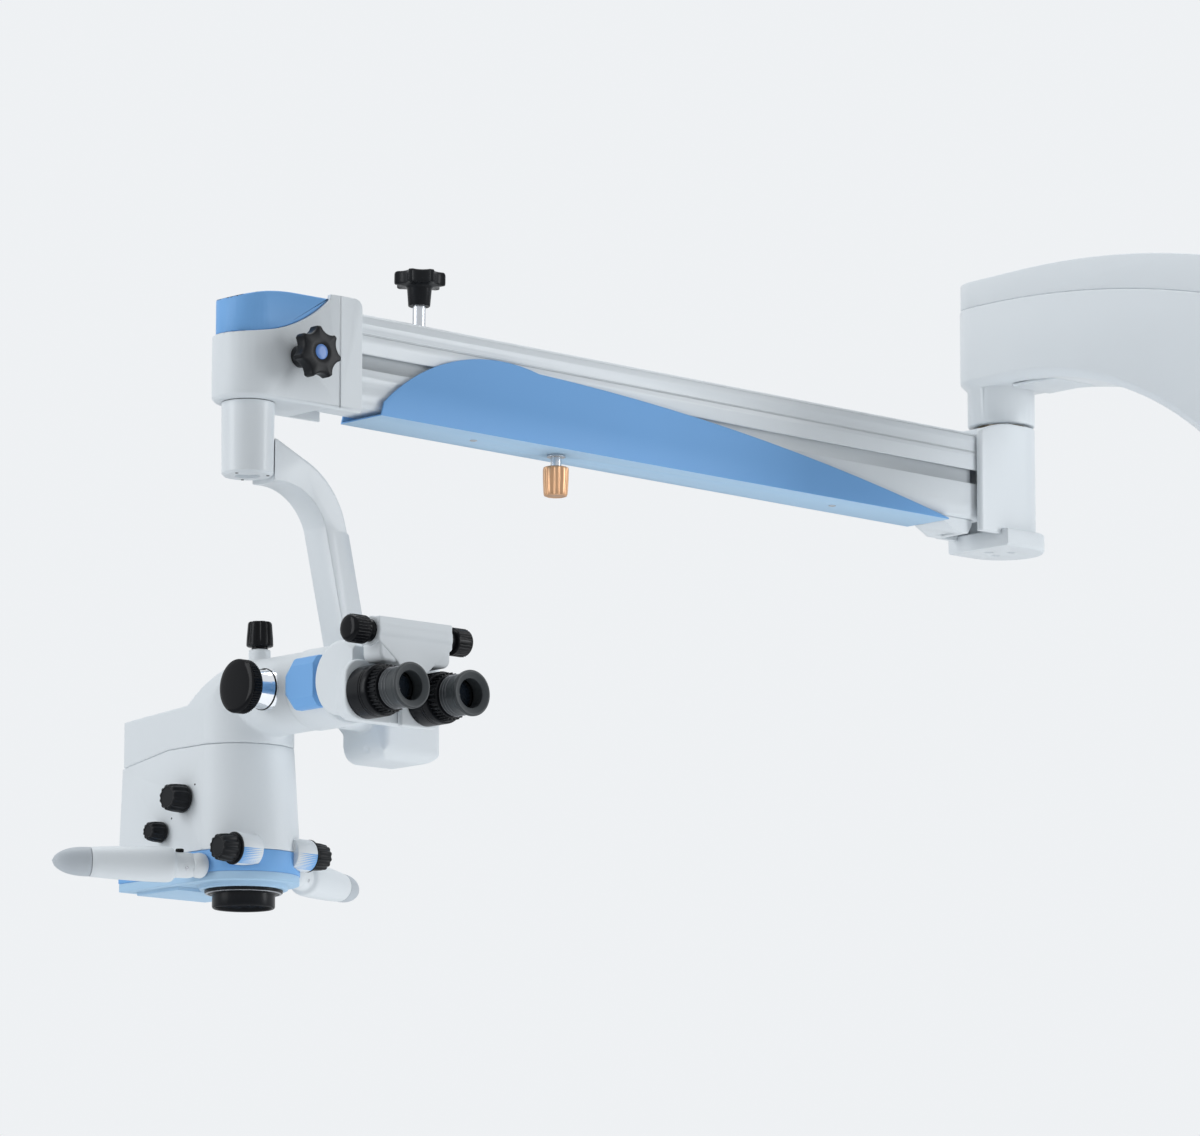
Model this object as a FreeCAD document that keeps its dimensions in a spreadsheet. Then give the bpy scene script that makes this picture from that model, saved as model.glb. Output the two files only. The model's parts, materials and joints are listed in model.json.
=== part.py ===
import FreeCAD, Part
import math
import os
import Sketcher

# Surgical microscope on a balanced arm, in millimetres.
# Origin: mouth of the column socket under the swing arm. Z up, X along the balance arm
# towards the elbow post, and the balance arm's front end lies at -X. The eyepieces face -Y.

SIZES = [
    # swing arm
    ("column_offset", 360.0),
    ("elbow_height", 112.0),
    ("hub_radius", 60.0),
    ("arm_end_radius", 37.0),
    ("arm_root_height", 33.0),
    ("arm_depth", 132.0),
    ("arm_crease_height", 107.6),
    ("arm_bottom_flat", 40.0),
    ("arm_bottom_radius", 413.0),
    ("arm_top_flat", 60.0),
    ("arm_top_radius", 1100.0),
    ("arm_crease_radius", 1250.0),
    ("arm_edge_radius", 5.0),
    ("arm_belly_bevel", 7.0),
    ("cover_inset", 0.8),
    ("boss_radius", 30.6),
    ("column_bore_radius", 35.0),
    ("column_bore_depth", 120.0),
    ("bush_wall", 4.0),
    ("service_plate_start", 38.0),
    ("service_plate_length", 54.0),
    ("service_plate_width", 48.0),
    ("service_plate_thickness", 3.4),
    # elbow post
    ("elbow_gap", 2.6),
    ("spindle_radius", 17.0),
    ("spindle_length", 78.0),
    ("washer_thickness", 3.0),
    ("post_half_width", 30.4),
    ("post_front", 58.6),
    ("post_height", 102.4),
    ("post_roof", 11.4),
    ("post_slot_back", 18.0),
    ("post_roof_front", 31.0),
    ("post_lip", 4.7),
    ("post_shoulder_start", 20.0),
    ("post_shoulder_drop", 11.0),
    ("base_plate_radius", 38.0),
    ("base_plate_front", 32.0),
    ("base_plate_thickness", 16.0),
    ("plate_hole_radius", 4.0),
    ("plate_hole_circle", 14.0),
    ("plate_hole_depth", 3.0),
    # pivots of the parallel linkage
    ("fork_inner", 25.0),
    ("pin_radius", 5.0),
    ("pin_half_length", 28.0),
    ("eye_radius", 13.0),
    ("rear_pivot_x", 35.0),
    ("rear_pivot_drop", 30.7),
    ("pivot_spacing", 45.0),
    ("link_length", 767.8),
    ("arm_incline", 0.75),
    ("running_gap", 0.05),
    ("open_pivot_gap", 0.4),
    ("seam_gap", 0.3),
    # beams
    ("upper_half_width", 24.0),
    ("upper_wall", 3.0),
    ("upper_top", 15.0),
    ("upper_lip", 19.0),
    ("groove_width", 0.9),
    ("groove_height", -3.0),
    ("groove_depth", 0.6),
    ("lower_half_width", 22.0),
    ("lower_neck_half_width", 19.5),
    ("lower_wall", 3.0),
    ("lower_bottom", 19.0),
    ("lower_step", 14.0),
    ("lower_neck_top", 33.0),
    ("lower_edge_radius", 4.0),
    # underside cover
    ("cover_half_width", 26.5),
    ("cover_sheet", 1.5),
    ("cover_bottom", 24.0),
    ("cover_front_gap", 42.7),
    ("cover_tail", 59.7),
    ("cover_crest", 36.6),
    ("cover_crest_gap", 216.8),
    ("cover_nose_rise", 12.0),
    ("cover_nose_gap", 103.1),
    ("cover_nose_height", 26.7),
    ("cover_flank_x", 258.7),
    ("cover_flank_height", 12.2),
    ("cover_screw_gap", 166.8),
    ("cover_screw_rear", 180.0),
    ("cover_boss_radius", 6.0),
    ("shoe_front", 72.0),
    ("shoe_length", 49.0),
    ("shoe_half_width", 19.0),
    ("shoe_depth", 13.0),
    ("shoe_slot", 5.0),
    # gas spring inside the lower beam
    ("spring_radius", 10.0),
    ("spring_rod_radius", 4.0),
    ("spring_front", 470.0),
    ("spring_rear", 70.0),
    ("spring_body_length", 240.0),
    ("spring_height", 8.0),
    # balance adjuster under the beam
    ("balance_gap", 260.1),
    ("balance_stem_radius", 4.65),
    ("balance_knob_radius", 11.2),
    ("balance_knob_height", 25.4),
    ("balance_knob_drop", 10.5),
    ("balance_flute_radius", 2.4),
    ("balance_collar_radius", 9.0),
    # lift lock above the beam
    ("lift_gap", 105.1),
    ("lift_rod_radius", 5.5),
    ("lift_rod_length", 38.0),
    ("star_radius", 22.0),
    ("star_waist", 4.0),
    ("star_hollow", 0.42),
    ("star_thickness", 14.0),
    ("star_hub_radius", 10.0),
    ("star_hub_height", 15.0),
    # front block
    ("block_pivot_x", 78.0),
    ("block_pivot_z", 71.0),
    ("block_half_width", 30.0),
    ("block_rear", 97.0),
    ("block_height", 95.5),
    ("block_slot_front", 62.5),
    ("block_edge_radius", 4.0),
    ("cap_front_height", 54.5),
    ("cap_mid_x", 30.0),
    ("cap_mid_height", 68.0),
    ("cap_rear_height", 91.0),
    ("cap_top", 92.0),
    ("cap_nose_top", 83.0),
    ("cap_inset", 3.0),
    ("cap_crest_x", 28.0),
    ("crease_x", 72.5),
    ("brake_x", 29.0),
    ("brake_z", 38.0),
    ("brake_reach", 10.0),
    ("brake_stud_radius", 4.0),
    ("brake_stud_length", 30.0),
    ("brake_disc_radius", 6.0),
    # swivel below the block
    ("swivel_radius", 16.0),
    ("swivel_rise", 52.0),
    ("swivel_washer_radius", 20.0),
    ("sleeve_radius", 21.9),
    ("sleeve_foot_radius", 21.4),
    ("sleeve_length", 61.0),
    ("sleeve_floor", 8.5),
    ("sleeve_recess_radius", 10.5),
    ("sleeve_recess_depth", 2.5),
    ("sleeve_chamfer", 2.0),
    # carrier arm and box
    ("carrier_half_width", 14.5),
    ("carrier_top", 29.0),
    ("carrier_root_height", 35.0),
    ("carrier_elbow_x", 50.0),
    ("carrier_elbow_drop", 42.0),
    ("carrier_outer", 96.0),
    ("carrier_thickness", 24.0),
    ("carrier_bend", 98.0),
    ("carrier_bulge", 15.0),
    ("carrier_leg", 117.0),
    ("carrier_lean", 31.5),
    ("carrier_edge_radius", 4.0),
    ("box_x", 70.6),
    ("box_width", 64.0),
    ("box_front", 90.5),
    ("box_back", 39.5),
    ("box_head_back", 15.0),
    ("box_height", 81.0),
    ("box_head_height", 46.0),
    ("box_corner_radius", 14.0),
    ("box_face_radius", 8.0),
    ("jack_radius", 3.2),
    ("jack_depth", 2.5),
    ("jack_drop", 40.0),
    # tilt axis of the head
    ("tilt_y", 65.0),
    ("tilt_z", 248.0),
    ("tilt_boss_radius", 24.0),
    ("tilt_boss_x", 47.5),
    ("tilt_axle_radius", 14.0),
    ("tilt_axle_depth", 20.0),
    ("tilt_knob_radius", 22.0),
    ("tilt_knob_thickness", 13.0),
    ("tilt_collar_radius", 17.0),
    ("tilt_collar_length", 18.0),
    ("tilt_stud_radius", 5.0),
    # head
    ("neck_radius", 32.0),
    ("neck_front", 90.0),
    ("head_top_front", 38.0),
    ("head_top_half_width", 43.3),
    ("head_foot_front", 45.5),
    ("head_foot_half_width", 45.8),
    ("head_rear", 105.0),
    ("head_foot_rear", 106.5),
    ("head_seam", 287.0),
    ("head_seam_drop", 10.0),
    ("head_seam_bend", 45.0),
    ("head_foot", 373.0),
    ("head_wall", 3.5),
    ("head_corner_radius", 6.0),
    ("shoulder_rise", 1.0),
    ("shoulder_start", 22.0),
    ("shoulder_end", 12.0),
    ("skirt_height", 18.0),
    ("base_plate_drop", 7.0),
    ("lens_ring_radius", 36.0),
    ("lens_ring_drop", 11.0),
    ("lens_bore_radius", 24.3),
    ("flange_radius", 32.0),
    ("flange_thickness", 3.0),
    ("barrel_radius", 25.6),
    ("barrel_length", 15.0),
    ("barrel_wall", 3.0),
    ("lens_thickness", 4.0),
    ("lens_recess", 3.0),
    ("lens_cell_height", 12.0),
    ("lens_cell_wall", 5.0),
    # knobs on the head
    ("magnify_y", 22.0),
    ("magnify_z", 329.0),
    ("magnify_radius", 11.5),
    ("magnify_length", 18.0),
    ("drum_radius", 21.0),
    ("drum_half_length", 30.0),
    ("drum_window_radius", 8.0),
    ("shaft_radius", 4.0),
    ("filter_y", 49.0),
    ("filter_z", 354.0),
    ("filter_radius", 8.3),
    ("filter_length", 15.0),
    ("focus_y", 35.0),
    ("focus_z", 374.0),
    ("focus_base_x", 38.4),
    ("focus_radius", 11.35),
    ("focus_length", 17.4),
    ("focus_boss_radius", 13.0),
    ("focus_boss_root", 18.0),
    ("clamp_y", 18.0),
    ("clamp_boss_radius", 9.0),
    ("clamp_boss_height", 207.0),
    ("clamp_knob_radius", 11.0),
    ("clamp_knob_height", 22.5),
    ("flute_depth", 1.2),
    # handles
    ("handle_x", 46.3),
    ("handle_y", 3.0),
    ("handle_z", 386.0),
    ("handle_sweep", 25.0),
    ("handle_stub_radius", 4.5),
    ("handle_root_radius", 10.4),
    ("handle_radius", 14.4),
    ("handle_end_radius", 11.5),
    ("handle_root_length", 18.0),
    ("handle_length", 92.0),
    ("handle_tip_length", 31.0),
    ("handle_start", 4.0),
    ("button_x", 18.0),
    ("button_radius", 3.5),
    ("button_height", 6.5),
    ("button_proud", 2.8),
    ("button_travel", 1.5),
    # binocular tube
    ("tube_gap", 1.0),
    ("tube_radius", 33.0),
    ("spigot_radius", 20.0),
    ("spigot_length", 12.0),
    ("tube_length", 41.0),
    ("hinge_y", 165.0),
    ("hinge_z", 250.0),
    ("hinge_pin_radius", 5.0),
    ("tongue_radius", 14.0),
    ("tongue_half_width", 12.0),
    ("tongue_half_height", 12.0),
    ("panel_outer", 38.0),
    ("panel_half_height", 21.0),
    ("panel_nose", 8.0),
    ("drum_cheek_radius", 30.0),
    ("drum_cheek_outer", 40.0),
    ("carriage_front", 190.0),
    ("carriage_depth", 14.0),
    ("prism_depth", 6.0),
    ("prism_inner", 6.0),
    ("carriage_half_width", 52.0),
    ("carriage_top", 238.0),
    ("carriage_bottom", 287.0),
    ("carriage_corner", 16.0),
    ("bracket_front", 214.0),
    ("bracket_half_width", 38.0),
    ("bracket_top", 206.0),
    ("bar_y", 203.0),
    ("bar_z", 217.0),
    ("bar_radius", 12.0),
    ("distance_knob_radius", 11.5),
    ("distance_knob_end", 62.0),
    # eyepieces
    ("eye_x", 31.2),
    ("eye_z", 264.5),
    ("sleeve_tube_radius", 21.0),
    ("sleeve_tube_length", 23.0),
    ("ring_radius", 19.3),
    ("ring_length", 9.0),
    ("ring_core_radius", 14.0),
    ("cup_core_radius", 15.6),
    ("cup_core_length", 9.0),
    ("eye_lens_radius", 11.5),
    ("cup_radius", 17.2),
    ("cup_rim_lip", 1.3),
    ("cup_start", 34.5),
    ("cup_end", 56.5),
    ("cup_mouth_radius", 15.0),
    ("cup_throat_radius", 12.5),
]

os.makedirs("parts", exist_ok=True)
doc = FreeCAD.newDocument("SurgicalMicroscope")
sheet = doc.addObject("Spreadsheet::Sheet", "Sizes")
for row, (alias, number) in enumerate(SIZES, start=1):
    sheet.set(f"A{row}", alias)
    sheet.set(f"B{row}", str(number))
    sheet.setAlias(f"B{row}", alias)
doc.recompute()


class Size:
    """A length or angle that carries its value and the formula that binds it to the sheet."""

    def __init__(self, value, formula):
        self.value = float(value)
        self.formula = formula

    def __add__(self, other):
        return Size(self.value + value_of(other), f"({self.formula} + {formula_of(other)})")

    def __radd__(self, other):
        return Size(value_of(other) + self.value, f"({formula_of(other)} + {self.formula})")

    def __sub__(self, other):
        return Size(self.value - value_of(other), f"({self.formula} - {formula_of(other)})")

    def __rsub__(self, other):
        return Size(value_of(other) - self.value, f"({formula_of(other)} - {self.formula})")

    def __mul__(self, other):
        return Size(self.value * value_of(other), f"({self.formula} * {formula_of(other)})")

    def __rmul__(self, other):
        return self * other

    def __truediv__(self, other):
        return Size(self.value / value_of(other), f"({self.formula} / {formula_of(other)})")

    def __neg__(self):
        return Size(-self.value, f"(0 - {self.formula})")


def value_of(item):
    return item.value if isinstance(item, Size) else float(item)


def formula_of(item):
    return item.formula if isinstance(item, Size) else f"({float(item):.6f})"


def sine(angle):
    return Size(math.sin(math.radians(value_of(angle))), f"sin({formula_of(angle)})")


def cosine(angle):
    return Size(math.cos(math.radians(value_of(angle))), f"cos({formula_of(angle)})")


def root(item):
    return Size(math.sqrt(value_of(item)), f"sqrt({formula_of(item)})")


def arc_drop(radius, run):
    """How far an arc that starts level has dropped after a level run."""
    return radius - root(radius * radius - run * run)


class Named:
    """The sheet's sizes by name."""


size = Named()
for alias, number in SIZES:
    setattr(size, alias, Size(sheet.get(alias), f"Sizes.{alias}"))

# What sits near the front of the beams is placed from their front pivots
cover_front = size.link_length - size.cover_front_gap
cover_crest_x = size.link_length - size.cover_crest_gap
cover_nose_x = size.link_length - size.cover_nose_gap
cover_screw_front = size.link_length - size.cover_screw_gap
balance_x = size.link_length - size.balance_gap
lift_x = size.link_length - size.lift_gap

AXES = {
    "X": FreeCAD.Rotation(FreeCAD.Vector(0, 1, 0), 90),
    "Y": FreeCAD.Rotation(FreeCAD.Vector(1, 0, 0), -90),
    "Z": FreeCAD.Rotation(),
}
# signs of the offset along each plane's own normal
PLANES = {"XY": ("XY_Plane", 1), "XZ": ("XZ_Plane", -1), "YZ": ("YZ_Plane", 1)}
SAME_PLACE = 0.02
FAR = 400.0


class Piece:
    """One sub-part: a body with its own features, placed as a whole at a station."""

    made = []

    def __init__(self, node, station, many=False):
        self.node = node
        self.body = doc.addObject("PartDesign::Body", node)
        self.body.Label = node
        self.body.AllowCompound = many
        self.count = 0
        station.hold(self.body)
        Piece.made.append(self)

    def feature(self, kind):
        self.count += 1
        return self.body.newObject(kind, f"{self.node}_{self.count}")

    def sketch(self, plane, offset, turn=None):
        role, sign = PLANES[plane]
        sketch = self.feature("Sketcher::SketchObject")
        support = next(o for o in self.body.Origin.OriginFeatures if o.Role == role)
        sketch.AttachmentSupport = [(support, "")]
        sketch.MapMode = "FlatFace"
        if turn is not None:
            upright = FreeCAD.Rotation(FreeCAD.Vector(0, 0, 1), 1)
            sketch.AttachmentOffset = FreeCAD.Placement(FreeCAD.Vector(), upright)
            sketch.setExpression("AttachmentOffset.Rotation.Angle", formula_of(turn))
        sketch.setExpression("AttachmentOffset.Base.z", formula_of(sign * offset))
        return sketch

    def draw(self, sketch, points):
        """A closed outline. A point with a third entry ends an arc that runs through it."""
        first = sketch.GeometryCount
        corners = [FreeCAD.Vector(value_of(p[0]), value_of(p[1]), 0) for p in points]
        count = len(points)
        for i in range(count):
            start, end = corners[i - 1], corners[i]
            if len(points[i]) > 2:
                through = points[i][2]
                middle = FreeCAD.Vector(value_of(through[0]), value_of(through[1]), 0)
                sketch.addGeometry(Part.Arc(start, middle, end), False)
            else:
                sketch.addGeometry(Part.LineSegment(start, end), False)
        ends = [self.ends(sketch, first + i, corners[i]) for i in range(count)]
        for i in range(count):
            start, end = ends[i]
            later = ends[(i + 1) % count]
            link = (first + i, end, first + (i + 1) % count, later[0])
            sketch.addConstraint(Sketcher.Constraint("Coincident", *link))
            self.pin(sketch, first + i, end, points[i])
        for i in range(count):
            if len(points[i]) > 2:
                through = points[i][2]
                spot = FreeCAD.Vector(value_of(through[0]), value_of(through[1]), 0)
                mark = sketch.addGeometry(Part.Point(spot), True)
                self.pin(sketch, mark, 1, through)
                on_arc = Sketcher.Constraint("PointOnObject", mark, 1, first + i)
                sketch.addConstraint(on_arc)

    def ends(self, sketch, index, end):
        """Which of a curve's two ends is its start and which its end, as drawn."""
        if (sketch.getPoint(index, 2) - end).Length < SAME_PLACE:
            return 1, 2
        return 2, 1

    def pin(self, sketch, index, point, place):
        for kind, coordinate in zip(("DistanceX", "DistanceY"), place):
            held = Sketcher.Constraint(kind, index, point, value_of(coordinate))
            number = sketch.addConstraint(held)
            sketch.setExpression(f"Constraints[{number}]", formula_of(coordinate))

    def pad(self, points, start, length, plane="XY"):
        """Outline pushed from its start along the plane's positive axis."""
        sketch = self.sketch(plane, start + length / 2)
        self.draw(sketch, points)
        return self.push("PartDesign::Pad", sketch, length)

    def pocket(self, points, start, length, plane="XY", around=False):
        """Outline cut from its start along the axis. With around, what lies outside it goes."""
        sketch = self.sketch(plane, start + length / 2)
        self.draw(sketch, points)
        if around:
            self.draw(sketch, [(-2 * FAR, -2 * FAR), (2 * FAR, -2 * FAR),
                               (2 * FAR, 2 * FAR), (-2 * FAR, 2 * FAR)])
        before = self.volume()
        feature = self.push("PartDesign::Pocket", sketch, length)
        self.must_shrink(before, feature)
        return feature

    def push(self, kind, sketch, length):
        feature = self.feature(kind)
        feature.Profile = sketch
        feature.SideType = "Symmetric"
        feature.setExpression("Length", formula_of(length))
        sketch.Visibility = False
        return feature

    def revolve(self, points, plane="XZ", about="V_Axis", turn=None):
        sketch = self.sketch(plane, 0, turn)
        self.draw(sketch, points)
        feature = self.feature("PartDesign::Revolution")
        feature.Profile = sketch
        feature.ReferenceAxis = (sketch, [about])
        feature.Angle = 360
        return feature

    def loft(self, sections, cut=False):
        """A ruled loft through outlines, each given with its height."""
        sketches = []
        for height, points in sections:
            sketch = self.sketch("XY", height)
            self.draw(sketch, points)
            sketches.append(sketch)
        kind = "PartDesign::SubtractiveLoft" if cut else "PartDesign::AdditiveLoft"
        before = self.volume() if cut else None
        feature = self.feature(kind)
        feature.Profile = sketches[0]
        feature.Sections = sketches[1:]
        feature.Ruled = True
        if cut:
            self.must_shrink(before, feature)
        return feature

    def volume(self):
        doc.recompute()
        return self.body.Shape.Volume

    def must_shrink(self, before, feature):
        if self.volume() >= before - 1e-6:
            raise ValueError(f"{feature.Name} cuts nothing from {self.node}")

    def solid(self, kind, at, axis, cut, numbers):
        word = "Subtractive" if cut else "Additive"
        before = self.volume() if cut else None
        feature = self.feature(f"PartDesign::{word}{kind}")
        for name, number in numbers.items():
            feature.setExpression(name, formula_of(number))
        feature.Placement = FreeCAD.Placement(FreeCAD.Vector(), AXES[axis])
        for letter, coordinate in zip("xyz", at):
            feature.setExpression(f"Placement.Base.{letter}", formula_of(coordinate))
        if cut:
            self.must_shrink(before, feature)
        return feature

    def cylinder(self, radius, length, at=(0, 0, 0), axis="Z", cut=False):
        return self.solid("Cylinder", at, axis, cut, {"Radius": radius, "Height": length})

    def cone(self, first, second, length, at=(0, 0, 0), axis="Z", cut=False):
        numbers = {"Radius1": first, "Radius2": second, "Height": length}
        return self.solid("Cone", at, axis, cut, numbers)

    def box(self, low, high, cut=False):
        """A box between two corners."""
        numbers = {"Length": high[0] - low[0], "Width": high[1] - low[1], "Height": high[2] - low[2]}
        return self.solid("Box", low, "Z", cut, numbers)

    def edges(self, where):
        """Names of the edges whose ends all lie on the given coordinates."""
        doc.recompute()
        shape = self.body.Tip.Shape
        names = []
        for number, edge in enumerate(shape.Edges, start=1):
            ends = [v.Point for v in edge.Vertexes]
            if all(where(p) for p in ends) and where(edge.CenterOfMass):
                names.append(f"Edge{number}")
        return names

    def round_off(self, radius, where, bevel=False):
        """Fillets, or bevels, the edges that the test picks out."""
        names = self.edges(where)
        base = self.body.Tip
        feature = self.feature("PartDesign::Chamfer" if bevel else "PartDesign::Fillet")
        feature.Base = (base, names)
        feature.setExpression("Size" if bevel else "Radius", formula_of(radius))
        return feature

    def polar(self, features, count, axis="Z_Axis"):
        line = next(o for o in self.body.Origin.OriginFeatures if o.Role == axis)
        pattern = self.feature("PartDesign::PolarPattern")
        pattern.Originals = features
        pattern.Axis = (line, [""])
        pattern.Angle = 360
        pattern.Occurrences = count
        self.body.Tip = pattern
        return pattern


class Station:
    """A place that sub-parts are built around: a point in the frame, turned about one axis."""

    def __init__(self, x, y, z, turn=0.0, about=(0, 0, 1)):
        self.place = (x, y, z)
        self.turn = turn
        self.about = FreeCAD.Vector(*about)

    def hold(self, body):
        body.Placement = FreeCAD.Placement(FreeCAD.Vector(), FreeCAD.Rotation(self.about, 1))
        for letter, coordinate in zip("xyz", self.place):
            body.setExpression(f"Placement.Base.{letter}", formula_of(coordinate))
        body.setExpression("Placement.Rotation.Angle", formula_of(self.turn))


def near(number, target):
    return abs(number - value_of(target)) < SAME_PLACE


def rounded(x0, y0, x1, y1, radius):
    """A rectangle with round corners."""
    off = radius * (1 - math.sqrt(0.5))
    return [
        (x0 + radius, y0), (x1 - radius, y0), (x1, y0 + radius, (x1 - off, y0 + off)),
        (x1, y1 - radius), (x1 - radius, y1, (x1 - off, y1 - off)), (x0 + radius, y1),
        (x0, y1 - radius, (x0 + off, y1 - off)), (x0, y0 + radius),
        (x0 + radius, y0, (x0 + off, y0 + off)),
    ][1:]


def tube_outline(outer, inner, low, high):
    """Half section of a plain tube, for a revolution."""
    return [(inner, low), (outer, low), (outer, high), (inner, high)]


# Stations

column = Station(0, 0, 0)
elbow = Station(0, size.column_offset, size.elbow_height)
rear_x = -size.rear_pivot_x
upper_z = size.elbow_height - size.rear_pivot_drop
lower_z = upper_z - size.pivot_spacing
beam_up = Station(rear_x, size.column_offset, upper_z, size.arm_incline, (0, 1, 0))
beam_low = Station(rear_x, size.column_offset, lower_z, size.arm_incline, (0, 1, 0))
front_x = rear_x - size.link_length * cosine(size.arm_incline) - size.block_pivot_x
front_z = upper_z + size.link_length * sine(size.arm_incline) - size.block_pivot_z
front = Station(front_x, size.column_offset, front_z)


# Swing arm

def arm_plan(inset):
    end = size.arm_end_radius - inset
    hub = size.hub_radius - inset
    far = -size.column_offset
    return [(end, 0), (-end, 0, (0, end)), (-hub, far), (hub, far, (0, far - hub))]


def make_swing_arm():
    far = size.column_offset
    back = far + size.hub_radius
    foot = -size.elbow_height
    low = size.arm_root_height
    neck_run = far - size.hub_radius - size.arm_bottom_flat
    neck_mid = neck_run * 0.6
    crease = size.arm_crease_height
    crease_end = crease - arc_drop(size.arm_crease_radius, back)
    crease_mid = crease - arc_drop(size.arm_crease_radius, back / 2)
    end = size.arm_end_radius
    bottom_bend = (-(size.arm_bottom_flat + neck_mid),
                   low - arc_drop(size.arm_bottom_radius, neck_mid))
    neck_z = low - arc_drop(size.arm_bottom_radius, neck_run)

    housing = Piece("swing_arm_housing", elbow)
    housing.pad([
        (end, low), (-size.arm_bottom_flat, low),
        (-(far - size.hub_radius), neck_z, bottom_bend),
        (-(far - size.hub_radius), foot), (-back, foot), (-back, crease_end),
        (0, crease, (-back / 2, crease_mid)), (end, crease),
    ], -size.hub_radius, 2 * size.hub_radius, "YZ")
    housing.pocket(arm_plan(0), foot - 1, size.elbow_height + size.arm_depth + 2, around=True)
    housing.round_off(size.arm_belly_bevel,
                      lambda p: neck_z.value / 2 < p.z < low.value + 1 and (abs(p.x) > 5 or p.y > 1),
                      bevel=True)
    housing.cylinder(size.boss_radius, low + 4)
    wall = size.bush_wall
    housing.cylinder(size.spindle_radius + wall, size.spindle_length + wall, cut=True)
    plate = size.service_plate_start - size.seam_gap
    housing.box((-size.service_plate_width / 2 - size.seam_gap,
                 -plate - size.service_plate_length - 2 * size.seam_gap,
                 low - size.service_plate_thickness - 8),
                (size.service_plate_width / 2 + size.seam_gap, -plate, low), cut=True)
    housing.cylinder(size.column_bore_radius + wall, size.column_bore_depth,
                     (0, -far, foot), cut=True)
    housing.round_off(size.arm_edge_radius,
                      lambda p: near(p.z, foot) and abs(p.y + far.value) >= size.hub_radius.value - 1
                      or near(p.z, foot) and abs(p.x) > size.column_bore_radius.value + 6)

    cover = Piece("swing_arm_cover", elbow)
    top_run = back - size.arm_top_flat
    top_end = size.arm_depth - arc_drop(size.arm_top_radius, top_run)
    top_mid = size.arm_depth - arc_drop(size.arm_top_radius, top_run / 2)
    cover.pad([
        (end, crease), (end, size.arm_depth), (-size.arm_top_flat, size.arm_depth),
        (-back, top_end, (-(size.arm_top_flat + top_run / 2), top_mid)),
        (-back, crease_end), (0, crease, (-back / 2, crease_mid)),
    ], -size.hub_radius, 2 * size.hub_radius, "YZ")
    cover.pocket(arm_plan(size.cover_inset), 0, size.arm_depth + 2, around=True)

    plate_piece = Piece("swing_arm_service_plate", elbow)
    half = size.service_plate_width / 2
    plate_piece.box((-half, -plate - size.seam_gap - size.service_plate_length,
                     low - size.service_plate_thickness),
                    (half, -plate - size.seam_gap, low))

    bushes = Piece("swing_arm_bushes", elbow, many=True)
    gap = size.running_gap
    bushes.revolve(tube_outline(size.spindle_radius + wall - gap, size.spindle_radius + gap,
                                0.2, size.spindle_length - size.washer_thickness - size.seam_gap))
    bushes.cylinder(size.column_bore_radius + wall - gap, size.column_bore_depth - 0.2,
                    (0, -far, foot + 0.1))
    bushes.cylinder(size.column_bore_radius, size.column_bore_depth, (0, -far, foot), cut=True)


# Elbow post

def post_plan(front_face, half_width):
    return [(-front_face, -half_width), (0, -half_width), (0, half_width, (half_width, 0)),
            (-front_face, half_width)]


def pivot_pins(node, station, x, high):
    pins = Piece(node, station, many=True)
    for z in (high, high - size.pivot_spacing):
        pins.cylinder(size.pin_radius, 2 * size.pin_half_length,
                      (x, -size.pin_half_length, z), "Y")


def pin_seats(housing, x, high):
    """Blind seats for the pivot pins in the two cheeks of a fork."""
    reach = size.pin_half_length + 0.1
    for z in (high, high - size.pivot_spacing):
        housing.cylinder(size.pin_radius + size.running_gap, 2 * reach, (x, -reach, z), "Y", cut=True)


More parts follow.
